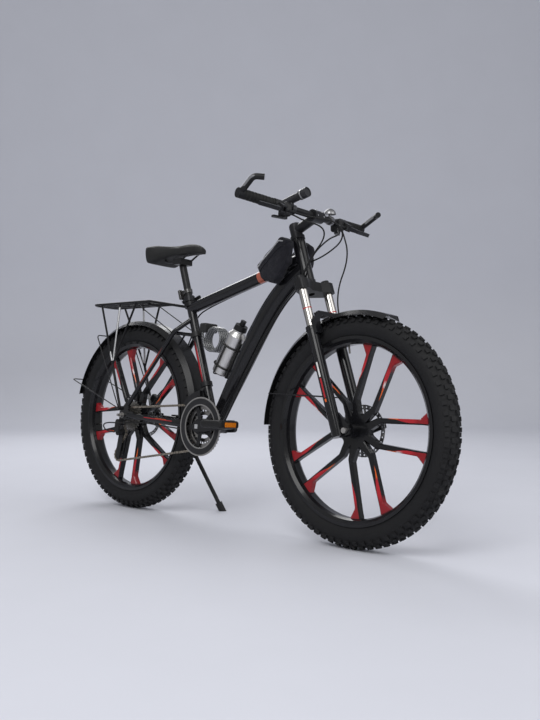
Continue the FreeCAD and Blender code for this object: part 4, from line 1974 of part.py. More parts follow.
def build():
    nodes = {}
    tread = tyre()
    nodes["front_tyre"] = [moved(tread, FRONT_AXLE)]
    nodes["rear_tyre"] = [moved(tread, REAR_AXLE)]
    nodes["front_wheel"] = wheel(FRONT_AXLE, FRONT_PHASE_DEG, front_hub())
    nodes["rear_wheel"] = wheel(REAR_AXLE, REAR_PHASE_DEG, rear_hub())
    nodes["front_rotor"] = [rotor(FRONT_AXLE, FRONT_ROTOR_Y)]
    nodes["rear_rotor"] = [rotor(REAR_AXLE, REAR_ROTOR_Y)]
    nodes["main_frame"] = main_frame()
    nodes["rear_triangle"] = rear_triangle()
    nodes["headset"] = headset()
    nodes["bottom_bracket"] = bottom_bracket()
    nodes["rear_axle"] = [rear_axle()]
    nodes["seat_clamp"] = seat_clamp()
    nodes["seat_qr_lever"] = [seat_qr_lever()]
    nodes["seatpost"] = [seatpost()]
    cushion = saddle()
    nodes["saddle"] = [cushion]
    nodes["saddle_rails"] = saddle_rails(cushion)
    nodes["seat_reflector"] = [seat_reflector()]
    nodes["chain"] = chain()
    nodes["cassette"] = [cassette()]
    nodes["chainrings"] = chainrings()
    nodes["crank_arms"] = [cranks()]
    nodes["right_pedal"] = pedal(RIGHT)
    nodes["left_pedal"] = pedal(LEFT)
    nodes["guide_pulley"] = [pulley(GUIDE)]
    nodes["tension_pulley"] = [pulley(TENSION)]
    nodes["derailleur_cage"] = [derailleur_cage()]
    nodes["rear_derailleur"] = [rear_derailleur()]
    nodes["front_derailleur_cage"] = [front_derailleur_cage()]
    nodes["front_derailleur"] = [front_derailleur()]
    nodes["fork_stanchions"] = stanchions()
    nodes["fork_crown"] = fork_crown()
    nodes["fork_lowers"] = [fork_lowers()]
    nodes["front_axle"] = [front_axle()]
    nodes["front_qr_lever"] = [front_qr_lever()]
    back = at_fork(FRONT_CALIPER_UP, FORK_RAKE - FRONT_CALIPER_BACK)
    leg = at_fork(FRONT_CALIPER_UP + CALIPER_HEIGHT, LEG_OFFSET - LOWER_RADIUS, LEG_SPACING / 2)
    nodes["front_caliper"] = [caliper(back, unit(back - FRONT_AXLE), FRONT_ROTOR_Y, leg, fork_leg(LEFT))]
    above = polar(REAR_AXLE, CALIPER_REACH, REAR_CALIPER_DEG)
    ends = seatstay_points(LEFT)
    mount = ends[2] + (ends[1] - ends[2]) * REAR_CALIPER_ARM_SHARE - V(0, SEATSTAY_RADIUS, 0)
    stay_seat = bent_rod(ends, SEATSTAY_BEND, SEATSTAY_RADIUS + SEAT_GAP)
    nodes["rear_caliper"] = [caliper(above, unit(above - REAR_AXLE), REAR_ROTOR_Y, mount, stay_seat)]
    nodes["stem"] = stem()
    nodes["handlebar"] = [handlebar()]
    nodes["grips"] = [grip(side) for side in SIDES]
    nodes["bar_ends"] = [bar_end_horn(side) for side in SIDES]
    nodes["control_pods"] = [control_pod(side) for side in SIDES]
    nodes["right_brake_lever"] = [brake_lever(RIGHT)]
    nodes["left_brake_lever"] = [brake_lever(LEFT)]
    nodes["right_shift_lever"] = [thumb_lever(RIGHT)]
    nodes["left_shift_lever"] = [thumb_lever(LEFT)]
    nodes["headlight"] = headlight()
    nodes["bell"] = bell()
    nodes["front_fender"] = [front_fender()]
    nodes["rear_fender"] = [rear_fender()]
    nodes["rear_rack"] = [rear_rack()]
    nodes["water_bottle"] = water_bottle()
    nodes["bottle_cage"] = [bottle_cage()]
    lock, body = build_lock()
    nodes["lock_cable"] = [lock]
    nodes["lock_body"] = [body]
    nodes["frame_bag"] = frame_bag()
    nodes["kickstand_leg"] = kickstand_leg(nodes["rear_tyre"][0])
    nodes["kickstand_bracket"] = [kickstand_bracket()]
    nodes["front_brake_cable"] = [cable(LEFT, lever_exit(LEFT), FRONT_BRAKE_ROUTE)]
    nodes["rear_brake_cable"] = [cable(RIGHT, lever_exit(RIGHT), REAR_BRAKE_ROUTE)]
    nodes["shift_cables"] = [cable(RIGHT, shifter_exit(RIGHT), REAR_SHIFT_ROUTE),
                             cable(LEFT, shifter_exit(LEFT), FRONT_SHIFT_ROUTE)]
    return nodes


def stance(nodes):
    box = FreeCAD.BoundBox()
    for solids in nodes.values():
        for solid in solids:
            box.add(turned(solid, V(0, 0, 0), V(1, 0, 0), -LEAN_DEG).optimalBoundingBox(False))
    return V(-box.Center.x, -box.Center.y, -box.ZMin)


def stood(shape, shift):
    return moved(turned(shape, V(0, 0, 0), V(1, 0, 0), -LEAN_DEG), shift)


def main():
    os.makedirs("parts", exist_ok=True)
    nodes = build()
    shift = stance(nodes)
    print("cage angle", round(CAGE_DEG, 2), "links", len(CHAIN_PINS), "chain miss", round(CHAIN_MISS, 5))
    for name, solids in nodes.items():
        shapes = [stood(solid, shift) for solid in solids]
        Part.makeCompound(shapes).exportStep("parts/" + name + ".step")


if __name__ == "__main__":
    main()
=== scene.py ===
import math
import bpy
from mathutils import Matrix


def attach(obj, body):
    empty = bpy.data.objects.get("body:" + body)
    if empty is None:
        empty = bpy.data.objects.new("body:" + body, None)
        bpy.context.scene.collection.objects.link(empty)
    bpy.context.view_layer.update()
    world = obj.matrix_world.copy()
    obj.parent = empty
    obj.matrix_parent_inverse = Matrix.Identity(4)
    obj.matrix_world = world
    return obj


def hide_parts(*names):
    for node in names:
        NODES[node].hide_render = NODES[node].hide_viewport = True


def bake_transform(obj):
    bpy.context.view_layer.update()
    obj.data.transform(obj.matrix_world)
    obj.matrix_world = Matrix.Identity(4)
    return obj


bl_info = {
    "name": "Wide-tyre hardtail bicycle",
    "version": (1, 0, 0),
    "blender": (4, 5, 0),
    "location": "3D View > Sidebar > Bicycle",
    "description": "Finishes, soft goods and small fittings for a wide-tyre hardtail bicycle",
    "category": "Object",
}

import bmesh
import bpy
from mathutils import Matrix, Vector, noise
from mathutils.bvhtree import BVHTree

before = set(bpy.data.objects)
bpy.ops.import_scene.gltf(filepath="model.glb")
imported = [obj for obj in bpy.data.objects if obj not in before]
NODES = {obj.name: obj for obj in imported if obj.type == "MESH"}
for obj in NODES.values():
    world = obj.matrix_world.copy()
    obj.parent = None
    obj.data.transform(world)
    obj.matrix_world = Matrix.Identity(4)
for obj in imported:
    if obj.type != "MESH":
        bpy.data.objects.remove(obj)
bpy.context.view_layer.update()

# How the bike stands: its lean on the side stand and its place in the row frame
LEAN = math.radians(4.25)
SHIFT = Vector((0.001996, -0.080412, 0.000535))
RIGHT, LEFT = -1, 1

# Axles on the middle plane of the upright bike, in millimetres, and lines as a foot and a direction
REAR_AXLE = (-532.5, 352.0)
FRONT_AXLE = (532.5, 352.0)
BRACKET = (-92.0, 331.0)
STEER_FOOT = (489.4, 335.9)
STEER_UP = (-0.3502, 0.9367)
STEERING = (STEER_FOOT, STEER_UP)
SEAT_TUBE = (BRACKET, (-0.3551, 0.9348))
TOP_TUBE = ((-254.0, 755.0), (0.9664, 0.2571))
SEAT_STAY = ((-283.0, 659.0), (0.6393, 0.7689))
BOTTLE = (BRACKET, (0.4909, 0.8712))
LAMP = ((0.0, 0.0), (0.9703, 0.2419))

# Wheels: name, axle, the disc's place across, and the turns of the spokes and the valve in degrees
WHEELS = (("front", FRONT_AXLE, 32.0, -2.0, 100.0), ("rear", REAR_AXLE, 50.0, 44.0, 190.0))
SPOKE_FOLD = 36.0
DISC_FACE, DISC_BOLT_CIRCLE, DISC_BOLT_TURN = 1.6, 22.0, 30.0
VALVE_FOOT, VALVE_TIP, VALVE_RADIUS = 262.0, 238.0, 0.003
PEDALS = (("right", (77.4, 345.8)), ("left", (-261.4, 316.2)))

# Stem: the middle of its bar clamp, the slope of its face plate and its bolts
STEM_CLAMP, STEM_FACE_SLOPE, STEM_FACE_OUT = Vector((328.9, 0.0, 1029.9)), 25.0, 19.6 * 0.94
STEM_BOLT_ACROSS, STEM_BOLT_UP, STEM_TOP = 15.0, 9.0, 720.4

# Points of the outer casings, in millimetres on the upright bike
FRONT_BRAKE_ROUTE = ((335.5, 144.3, 1022.2), (338, 132.9, 1021.3), (354, 84, 1016), (405, 44, 985),
                     (425, 60, 900), (350, 91, 790), (383, 91, 665), (440, 87, 470), (444, 62, 428),
                     (454, 40, 406), (455, 40, 391))
REAR_BRAKE_ROUTE = ((335.5, -144.3, 1022.2), (338, -132.9, 1021.3), (356, -82, 1012), (436, -20, 1000),
                    (420, 40, 955), (345, 31, 905), (270, 24.5, 884), (150, 24.5, 852), (-200, 24.5, 758),
                    (-268, 36, 722), (-315, 59, 640), (-426, 65.5, 507), (-464, 67, 460), (-476, 58, 446),
                    (-483, 52, 432))
REAR_SHIFT_ROUTE = ((328.2, -118.5, 1013.5), (330.6, -107.1, 1012.6), (352, -90, 998), (412, -62, 978),
                    (406, -42, 945), (350, -38, 892), (302, -38, 812), (262, -18, 789), (218, -18, 752),
                    (144, -18, 655), (44, -18, 497), (-62, -18, 314), (-92, -20, 302), (-130, -28, 306),
                    (-190, -46, 315), (-300, -62, 322), (-440, -74, 332), (-490, -105, 322),
                    (-580, -106, 322), (-622, -98, 310), (-606, -90, 286), (-556.5, -88, 286))
FRONT_SHIFT_ROUTE = ((328.2, 118.5, 1013.5), (330.6, 107.1, 1012.6), (352, 88, 996), (398, 36, 970),
                     (404, -24, 946), (346, -30, 900), (300, -30, 812), (264, -8, 788), (219, -8, 750),
                     (145, -8, 653), (45, -8, 495), (-60, -8, 312), (-90, -8, 301), (-122, -6, 310),
                     (-146, -12, 352), (-153, -33, 395), (-153, -33, 424))

# Coil of the lock, in millimetres: its centre on the bike's middle plane, and its turns
COIL_CENTRE = (-112.0, 639.0)
COIL_RADIUS, COIL_PITCH, COIL_TURNS, COIL_TAIL = 42.0, 9.6, 4, 34.0
COIL_STEPS = 16

# Padding: steps and stiffness of the cloth, and folds per metre along, across, up and aslant
CLOTH_FRAMES, CLOTH_TENSION, CLOTH_SHEAR = 20, 40.0, 20.0
FOLD_ALONG, FOLD_ACROSS, FOLD_UP, FOLD_SLANT = 20.0, 30.0, 34.0, 14.0

# Saddle: where its padding starts to deepen, over what length and by what share
SADDLE_LEVEL = (-335.0, 0.0, 990.0)
SADDLE_REAR_RUN, SADDLE_REAR_SHARE = 0.09, 0.3

# Bag: its directions and rear corner on the top tube, and its seams and a pale painted highlight line along
# its top edge, as shares of its length
BAG_ALONG, BAG_ABOVE = Vector((0.9664, 0.0, 0.2571)), Vector((-0.2571, 0.0, 0.9664))
BAG_START = Vector((279.6, 0.0, 896.9)) - BAG_ALONG * 150.0 + BAG_ABOVE * 21.0
BAG_LENGTH, BAG_FACE, BAG_OUTSIDE = 165.0, 66.0, 120.0
BAG_SEAM_STEPS, BAG_SEAM_LIFT = 5, 0.7
# painted highlight: a pale line along the bag's top edge
TOP_HIGHLIGHT_RUN = ((0.06, -0.085), (0.2, -0.015), (0.4, 0.085), (0.6, 0.185), (0.73, 0.245), (0.82, 0.205))
ZIP_FLAP = ((0.06, -0.2), (0.2, -0.14), (0.4, -0.04), (0.6, 0.06), (0.76, 0.12), (0.88, 0.08))
LOWER_SEAM = ((0.1, -0.3), (0.2, -0.4), (0.32, -0.48), (0.42, -0.5), (0.55, -0.42), (0.68, -0.32),
              (0.79, -0.21), (0.87, -0.06), (0.9, 0.04))

# Stage, in metres and degrees; lights are name, place, aim, size and power
CAMERA_PLACE = (2.1076, -2.1047, 0.5602)
CAMERA_TILT, CAMERA_TURN = 90.0 + 0.11, 43.33
SENSOR, FOCAL_PIXELS, FRAME_PIXELS = 36.0, 852.2, 720.0
FLOOR_HALF, FLOOR_BEND, FLOOR_BEND_AT, FLOOR_TOP = 30.0, 1.5, 4.0, 16.0
FLOOR_AWAY, FLOOR_STEPS = Vector((-0.72, 0.69, 0.0)), 12
SKY, SKY_STRENGTH = (0.94, 0.95, 0.96, 1.0), 0.5
LIGHTS = (("key", (1.6, -3.4, 3.6), (0, 0, 0.5), 2.6, 105.0),
          ("fill", (3.6, 0.6, 2.4), (0, 0, 0.5), 3.0, 45.0),
          ("rim", (-2.8, 1.6, 3.2), (0, 0, 0.6), 2.4, 70.0))


def at(x, y, z):
    """A point of the upright bike, in millimetres, as a place in the row frame in metres."""
    x, y, z = x / 1000, y / 1000, z / 1000
    c, s = math.cos(LEAN), math.sin(LEAN)
    return Vector((x, y * c + z * s, -y * s + z * c)) + SHIFT


def way(x, y, z):
    return (at(x, y, z) - at(0, 0, 0)).normalized()


def on_fork(up, ahead, y=0.0):
    return (STEER_FOOT[0] + STEER_UP[0] * up + STEER_UP[1] * ahead, y,
            STEER_FOOT[1] + STEER_UP[1] * up - STEER_UP[0] * ahead)


def round_place(axle, radius, degrees, y):
    turn = math.radians(degrees)
    return (axle[0] + radius * math.cos(turn), y, axle[1] + radius * math.sin(turn))


class BicycleSizes(bpy.types.PropertyGroup):
    casing: bpy.props.FloatProperty(
        name="Cable casing", description="Outer diameter of the brake and gear casings", default=0.005,
        unit="LENGTH")
    lock_wire: bpy.props.FloatProperty(
        name="Lock cable", description="Outer diameter of the lock's sleeve", default=0.0084, unit="LENGTH")
    lock_length: bpy.props.FloatProperty(
        name="Lock length", description="Length of the lock cable", default=1.322, unit="LENGTH")
    bolt: bpy.props.FloatProperty(
        name="Bolt head", description="Radius of the larger bolt heads", default=0.0042, unit="LENGTH")
    small_bolt: bpy.props.FloatProperty(
        name="Small bolt head", description="Radius of the smaller bolt heads", default=0.003, unit="LENGTH")
    piping: bpy.props.FloatProperty(
        name="Bag seams", description="Radius of the bag's seams", default=0.0016, unit="LENGTH")
    seat_fill: bpy.props.FloatProperty(
        name="Saddle fill", description="How tight the saddle's padding is", default=0.8, min=0.0, max=1.0)
    bag_fill: bpy.props.FloatProperty(
        name="Bag fill", description="How tight the bag's pockets are", default=0.55, min=0.0, max=1.0)


def tint(name, description, default):
    return bpy.props.FloatVectorProperty(
        name=name, description=description, default=default, subtype="COLOR", size=3, min=0.0, max=1.0)


class BicycleColours(bpy.types.PropertyGroup):
    black: tint("Black paint", "Gloss paint of the frame and fork", (0.006, 0.006, 0.007))
    red: tint("Red accent", "Accent of the spokes, fork and stays", (0.42, 0.018, 0.026))
    # on the spokes this orange is also a painted highlight
    orange: tint("Orange accent", "Second accent of the spokes and stays", (0.75, 0.13, 0.02))
    # this white is also used for the spokes' painted white glints
    white: tint("White accent", "Pale stripes", (0.72, 0.71, 0.69))
    copper: tint("Copper band", "Band round the top tube", (0.38, 0.1, 0.06))
    rubber: tint("Tyre", "Tyre rubber", (0.011, 0.011, 0.012))
    fabric: tint("Bag cloth", "Cloth of the top tube bag", (0.013, 0.013, 0.018))
    # painted highlight: this pale tone stands for the light along the bag's top edge
    piping: tint("Bag edging", "Pale tape along the top edge of the bag", (0.3, 0.3, 0.31))
    leather: tint("Saddle", "Cover of the saddle", (0.018, 0.018, 0.018))
    floor: tint("Floor", "Floor and backdrop", (0.62, 0.63, 0.69))


# Shader sums

class Num:
    """A number socket that can stand in a Python expression."""

    def __init__(self, shade, socket):
        self.shade = shade
        self.socket = socket

    def sum(self, operation, first, second=0.0):
        node = self.shade.node("ShaderNodeMath", {"operation": operation}, {0: first, 1: second})
        return Num(self.shade, node.outputs[0])

    def __add__(self, other):
        return self.sum("ADD", self, other)

    def __radd__(self, other):
        return self.sum("ADD", other, self)

    def __sub__(self, other):
        return self.sum("SUBTRACT", self, other)

    def __rsub__(self, other):
        return self.sum("SUBTRACT", other, self)

    def __mul__(self, other):
        return self.sum("MULTIPLY", self, other)

    def __rmul__(self, other):
        return self.sum("MULTIPLY", other, self)

    def __truediv__(self, other):
        return self.sum("DIVIDE", self, other)

    def __gt__(self, other):
        return self.sum("GREATER_THAN", self, other)

    def __lt__(self, other):
        return self.sum("LESS_THAN", self, other)

    def __abs__(self):
        return self.sum("ABSOLUTE", self)

    def __pow__(self, other):
        return self.sum("POWER", self, other)

    def sine(self):
        return self.sum("SINE", self)

    def most(self, other):
        return self.sum("MAXIMUM", self, other)

    def least(self, other):
        return self.sum("MINIMUM", self, other)

    def cosine(self):
        return self.sum("COSINE", self)

    def angle_to(self, other):
        return self.sum("ARCTAN2", self, other)

    def reach(self, other):
        return (self * self + other * other) ** 0.5

    def folded(self, span):
        return self.sum("PINGPONG", self, span)

    def between(self, low, high):
        return (self > low) * (self < high)

    def ramp(self, low, high):
        node = self.shade.node("ShaderNodeMapRange", {"interpolation_type": "SMOOTHSTEP"},
                               {0: self, 1: low, 2: high, 3: 0.0, 4: 1.0})
        return Num(self.shade, node.outputs[0])


class Shade:
    """One material and the nodes in it."""

    def __init__(self, name):
        self.material = bpy.data.materials.new(name)
        self.material.use_nodes = True
        self.tree = self.material.node_tree
        self.tree.nodes.clear()
        self.output = self.node("ShaderNodeOutputMaterial")
        self.coords = self.node("ShaderNodeTexCoord").outputs["Object"]

    def node(self, kind, settings=None, sockets=None):
        made = self.tree.nodes.new(kind)
        for key, value in (settings or {}).items():
            setattr(made, key, value)
        for key, value in (sockets or {}).items():
            value = value.socket if isinstance(value, Num) else value
            if isinstance(value, bpy.types.NodeSocket):
                self.tree.links.new(value, made.inputs[key])
            else:
                made.inputs[key].default_value = value
        return made

    def upright(self):
        """Coordinates of the upright bike, in millimetres."""
        back = Matrix.Rotation(LEAN, 3, "X") @ SHIFT
        turned = self.node("ShaderNodeMapping", {"vector_type": "POINT"},
                           {"Vector": self.coords, "Location": -back, "Rotation": (LEAN, 0, 0)})
        parts = self.node("ShaderNodeSeparateXYZ", None, {0: turned.outputs[0]})
        return [Num(self, parts.outputs[i]) * 1000.0 for i in range(3)]

    def normal(self):
        turned = self.node("ShaderNodeVectorRotate", {"rotation_type": "X_AXIS"},
                           {"Vector": self.node("ShaderNodeNewGeometry").outputs["Normal"], "Angle": LEAN})
        parts = self.node("ShaderNodeSeparateXYZ", None, {0: turned.outputs[0]})
        return [Num(self, parts.outputs[i]) for i in range(3)]

    def noise(self, scale, detail=3.0, rough=0.5, stretch=None):
        vector = self.coords
        if stretch:
            vector = self.node("ShaderNodeMapping", None, {"Vector": vector, "Scale": stretch}).outputs[0]
        node = self.node("ShaderNodeTexNoise", None,
                         {"Vector": vector, "Scale": scale, "Detail": detail, "Roughness": rough})
        return Num(self, node.outputs[0])

    def cells(self, scale, feature="F1"):
        node = self.node("ShaderNodeTexVoronoi", {"feature": feature},
                         {"Vector": self.coords, "Scale": scale})
        return Num(self, node.outputs["Distance"])

    def mix(self, share, first, second):
        node = self.node("ShaderNodeMix", {"data_type": "RGBA"}, {0: share, 6: full(first), 7: full(second)})
        return node.outputs[2]

    def bump(self, height, depth, strength=1.0):
        node = self.node("ShaderNodeBump", None, {"Height": height, "Distance": depth, "Strength": strength})
        return node.outputs[0]

    def finish(self, colour, rough, metal=0.0, normal=None, **fixed):
        fixed.setdefault("specular_ior_level", 0.2)
        sockets = {"Base Color": full(colour), "Roughness": rough, "Metallic": metal}
        for key, value in fixed.items():
            sockets[key.replace("_", " ").title().replace("Ior", "IOR")] = value
        shader = self.node("ShaderNodeBsdfPrincipled", None, sockets)
        if normal is not None:
            self.tree.links.new(normal, shader.inputs["Normal"])
        self.tree.links.new(shader.outputs[0], self.output.inputs[0])
        return self.material


def full(colour):
    return colour if isinstance(colour, bpy.types.NodeSocket) else (*colour[:3], 1.0)


def scaled(colour, share):
    return tuple(min(1.0, c * share) for c in colour[:3])


def along_line(x, z, line):
    foot, up = line
    return (x - foot[0]) * up[0] + (z - foot[1]) * up[1]


def ahead_of_line(x, z, line):
    foot, up = line
    return (x - foot[0]) * up[1] - (z - foot[1]) * up[0]


# Finishes

def gloss_paint(name, accents):
    """Black gloss paint with plain coloured accents: (mask, colour) pairs made by a function of the shade."""
    tones = bpy.context.scene.bicycle_colours
    shade = Shade(name)
    cloud = shade.noise(6.0, 4.0)
    fleck = shade.noise(900.0, 2.0)
    colour = shade.mix(cloud, tones.black, scaled(tones.black, 1.9))
    for mask, tone in accents(shade, tones):
        colour = shade.mix(mask, colour, tone)
    dust = shade.noise(35.0, 5.0, 0.6).ramp(0.55, 0.8)
    return shade.finish(colour, 0.13 + dust * 0.16, normal=shade.bump(fleck, 0.00004, 0.5),
                        coat_weight=0.25, coat_roughness=0.06)


def frame_accents(shade, tones):
    x, y, z = shade.upright()
    top = abs(ahead_of_line(x, z, TOP_TUBE)) < 26.0
    up, ahead = along_line(x, z, SEAT_TUBE), ahead_of_line(x, z, SEAT_TUBE)
    seat = (abs(ahead) < 18.0) * (abs(y) > 6.0)
    fade = up.ramp(150.0, 215.0) * (1.0 - up.ramp(270.0, 335.0))
    return [(top * along_line(x, z, TOP_TUBE).between(358.0, 380.0), tones.copper),
            (seat * fade * ahead.between(-5.0, 3.0), tones.red),
            (seat * fade * ahead.between(4.2, 5.6) * 0.6, tones.white)]


def stay_accents(shade, tones):
    x, y, z = shade.upright()
    down = along_line(x, z, SEAT_STAY) * -1.0
    off = ahead_of_line(x, z, SEAT_STAY)
    outside = abs(y) > 60.0
    chain = ((x - BRACKET[0]) * 0.0477 + (z - BRACKET[1])) - 3.0
    low = (abs(chain) < 20.0) * x.between(-400.0, -250.0) * (abs(y) > 62.0)
    fade = down.ramp(60.0, 130.0) * (1.0 - down.ramp(190.0, 260.0))
    return [(outside * fade * off.between(-3.4, 0.6), tones.red),
            (outside * fade * off.between(1.4, 2.6) * 0.8, tones.orange),
            (low * chain.between(-1.0, 1.4), tones.red),
            (low * x.between(-340.0, -280.0) * chain.between(2.4, 3.6), tones.orange)]


def fork_accents(shade, tones):
    x, y, z = shade.upright()
    up = along_line(x, z, STEERING)
    leg = (abs(y) > 66.0) * ahead_of_line(x, z, STEERING).between(15.0, 21.0)
    return [(leg * up.between(178.0, 226.0), tones.white),
            (leg * up.between(112.0, 174.0), tones.red),
            (leg * up.between(98.0, 108.0), tones.orange)]


def cast_alloy(name, axle, phase):
    """Black cast wheel: the outer side of each spoke turns gold, then red, and its flared foot is red. The
    gold is partly orange accent and partly a painted highlight, the foot's red is darkened as painted shadow,
    and some spokes get a painted white glint.
    """
    tones = bpy.context.scene.bicycle_colours
    shade = Shade(name)
    x, y, z = shade.upright()
    dx, dz = x - axle[0], z - axle[1]
    radius = dx.reach(dz)
    turn = (dz.angle_to(dx) - math.radians(phase)).folded(math.radians(SPOKE_FOLD))
    along, beside = radius * turn.cosine(), radius * turn.sine()
    edge = 41.1 + along.least(226.0) * 0.05
    flat = abs(shade.normal()[1]) > 0.6
    foot = along.ramp(200.0, 226.0)
    inside = (radius < 261.0) * (beside < 88.0) * (abs(y) < 12.6) * flat.most(foot)
    width = 2.5 + along.ramp(128.0, 200.0) * 9.0
    band = beside > edge - width
    red = inside * band * along.ramp(146.0, 160.0)
    # painted highlight: the gold streak is partly the orange accent and partly a painted orange-gold glint
    fade = along.ramp(112.0, 132.0) * (1.0 - along.ramp(150.0, 168.0))
    gold_accent_and_glint = inside * (beside > edge - width * 0.7) * fade
    # painted highlight: a white glint on the outer edge of some spokes
    pick = shade.noise(7.0, 1.0).ramp(0.5, 0.56)
    short = along.ramp(150.0, 158.0) * (1.0 - along.ramp(164.0, 182.0))
    glint = inside * pick * (beside > edge - width * 0.6) * short
    shadow = shade.mix(foot, tones.red, scaled(tones.red, 0.62))
    colour = shade.mix(shade.noise(14.0), tones.black, scaled(tones.black, 1.6))
    colour = shade.mix(gold_accent_and_glint, colour, tones.orange)
    colour = shade.mix(red, colour, shadow)
    colour = shade.mix(glint * 0.85, colour, tones.white)
    grain = shade.bump(shade.noise(700.0), 0.00005, 0.5)
    return shade.finish(colour, 0.16 + shade.noise(30.0, 4.0) * 0.12, normal=grain, coat_weight=0.22,
                        coat_roughness=0.08)


def tyre_rubber(name, axle):
    """Knobbly tyre: dusty tread, smoother sidewall with fine moulded rings."""
    tones = bpy.context.scene.bicycle_colours
    shade = Shade(name)
    x, y, z = shade.upright()
    radius = (x - axle[0]).reach(z - axle[1])
    dust = shade.noise(40.0, 6.0, 0.65).ramp(0.45, 0.75)
    tread = radius.ramp(318.0, 346.0)
    wall = 1.0 - radius.ramp(312.0, 320.0)
    rings = ((radius * 2.1).sine() > 0.4) * wall
    colour = shade.mix(dust * (0.12 + tread * 0.35), tones.rubber, (0.05, 0.05, 0.05))
    grain = shade.noise(1400.0, 2.0) * 0.5 + rings
    return shade.finish(colour, 0.62 + dust * 0.25, normal=shade.bump(grain, 0.0003, 0.6))


def satin_alloy(name, tone, rough=0.34, metal=0.35):
    shade = Shade(name)
    cloud = shade.noise(22.0, 5.0)
    wear = shade.noise(160.0, 4.0, 0.7).ramp(0.66, 0.8)
    colour = shade.mix(wear * 0.35, shade.mix(cloud, tone, scaled(tone, 1.6)), scaled(tone, 4.0))
    return shade.finish(colour, rough + cloud * 0.14, metal,
                        normal=shade.bump(shade.noise(1100.0), 0.00006, 0.6))


def moulded_plastic(name, tone, rough=0.38):
    shade = Shade(name)
    cloud = shade.noise(18.0, 4.0)
    scuff = shade.noise(80.0, 6.0, 0.7, (1.0, 0.3, 1.0)).ramp(0.6, 0.78)
    colour = shade.mix(cloud, tone, scaled(tone, 1.5))
    return shade.finish(shade.mix(scuff * 0.25, colour, scaled(tone, 3.0)), rough + scuff * 0.2,
                        normal=shade.bump(shade.cells(1600.0), 0.00008, 0.4))


def turned_steel(name, axle, tone):
    """Steel with rings left by turning, about one axle."""
    shade = Shade(name)
    x, y, z = shade.upright()
    radius = (x - axle[0]).reach(z - axle[1])
    lines = (radius * 9.0).sine() * 0.5 + (radius * 23.0).sine() * 0.3
    heat = shade.noise(25.0, 4.0)
    return shade.finish(shade.mix(heat, scaled(tone, 0.75), scaled(tone, 1.15)), 0.26 + heat * 0.16, 1.0,
                        normal=shade.bump(lines, 0.00003, 0.4))


def oily_steel(name, tone):
    shade = Shade(name)
    grime = shade.noise(220.0, 5.0, 0.65).ramp(0.4, 0.7)
    return shade.finish(shade.mix(grime, tone, (0.05, 0.042, 0.034)), 0.3 + grime * 0.35, 0.85,
                        normal=shade.bump(shade.noise(900.0), 0.00005, 0.5))


def bright_metal(name, tone, rough=0.08):
    shade = Shade(name)
    haze = shade.noise(50.0, 4.0)
    return shade.finish(shade.mix(haze, scaled(tone, 0.94), tone), rough + haze * 0.06, 1.0)


def ringed_chrome(name, tone):
    """Chrome with one thin red ring."""
    tones = bpy.context.scene.bicycle_colours
    shade = Shade(name)
    x, y, z = shade.upright()
    ring = along_line(x, z, STEERING).between(404.0, 407.5)
    haze = shade.noise(50.0, 4.0)
    colour = shade.mix(ring, shade.mix(haze, scaled(tone, 0.9), tone), tones.red)
    return shade.finish(colour, 0.1 + haze * 0.06, 1.0 - ring)


def capped_alloy(name, tone, dark):
    """Brushed bottle with a black cap and spout."""
    shade = Shade(name)
    x, y, z = shade.upright()
    cap = along_line(x, z, BOTTLE) > 343.0
    lines = shade.noise(260.0, 4.0, 0.6, (1.0, 1.0, 0.06))
    colour = shade.mix(cap, shade.mix(lines, scaled(tone, 0.75), scaled(tone, 1.1)), dark)
    return shade.finish(colour, 0.26 + lines * 0.16 + cap * 0.1, 1.0 - cap,
                        normal=shade.bump(lines, 0.00004, 0.5))


def black_with_painted_strut_reflection(name, dark, bright):
    """Rack black, with one leg on each side painted pale and metallic as a painted reflection of the glossy
    black paint.
    """
    shade = Shade(name)
    x, y, z = shade.upright()
    # painted reflection: one leg on each side gets a pale metal colour where the glossy black leg reflects
    # the light
    strut_reflection = (z < 770.0) * (z > 560.0) * (abs(x + 610.0 - (z - 770.0) * 0.02) < 16.0) * (abs(y) > 40.0)
    cloud = shade.noise(22.0, 5.0)
    colour = shade.mix(strut_reflection, shade.mix(cloud, dark, scaled(dark, 1.6)), bright)
    return shade.finish(colour, 0.34 + cloud * 0.1 - strut_reflection * 0.1, 0.3 + strut_reflection * 0.7)


def pedal_finish(name, tip, dark, amber):
    """Black pedal with amber lenses on its ends."""
    shade = Shade(name)
    x, y, z = shade.upright()
    lens = abs(x - tip[0]) > 49.05
    cells = shade.cells(420.0)
    grain = shade.noise(300.0, 3.0)
    body = shade.mix(grain, dark, scaled(dark, 1.8))
    colour = shade.mix(lens, body, shade.mix(cells, scaled(amber, 0.4), amber))
    height = grain + cells * lens * 3.0
    return shade.finish(colour, 0.42 - lens * 0.26, normal=shade.bump(height, 0.0002, 0.6))


def inlaid_black(name, dark, pale):
    """Bar end with a pale inlay along its outer side."""
    shade = Shade(name)
    x, y, z = shade.upright()
    inlay = (abs(shade.normal()[1]) > 0.88) * (abs(y) > 290.0) * z.between(1064.0, 1094.0)
    cloud = shade.noise(60.0, 4.0)
    colour = shade.mix(inlay, shade.mix(cloud, dark, scaled(dark, 1.7)), pale)
    return shade.finish(colour, 0.34 + cloud * 0.12, 0.2)


def brushed_alloy(name, tone):
    shade = Shade(name)
    lines = shade.noise(260.0, 4.0, 0.6, (1.0, 1.0, 0.06))
    return shade.finish(shade.mix(lines, scaled(tone, 0.8), scaled(tone, 1.1)), 0.28 + lines * 0.18, 1.0,
                        normal=shade.bump(lines, 0.00004, 0.5))


def soft_rubber(name, tone):
    shade = Shade(name)
    grain = shade.noise(700.0, 3.0)
    rub = shade.noise(60.0, 5.0).ramp(0.5, 0.75)
    return shade.finish(shade.mix(rub * 0.4, tone, scaled(tone, 2.6)), 0.55 + rub * 0.2,
                        normal=shade.bump(grain, 0.00012, 0.6))


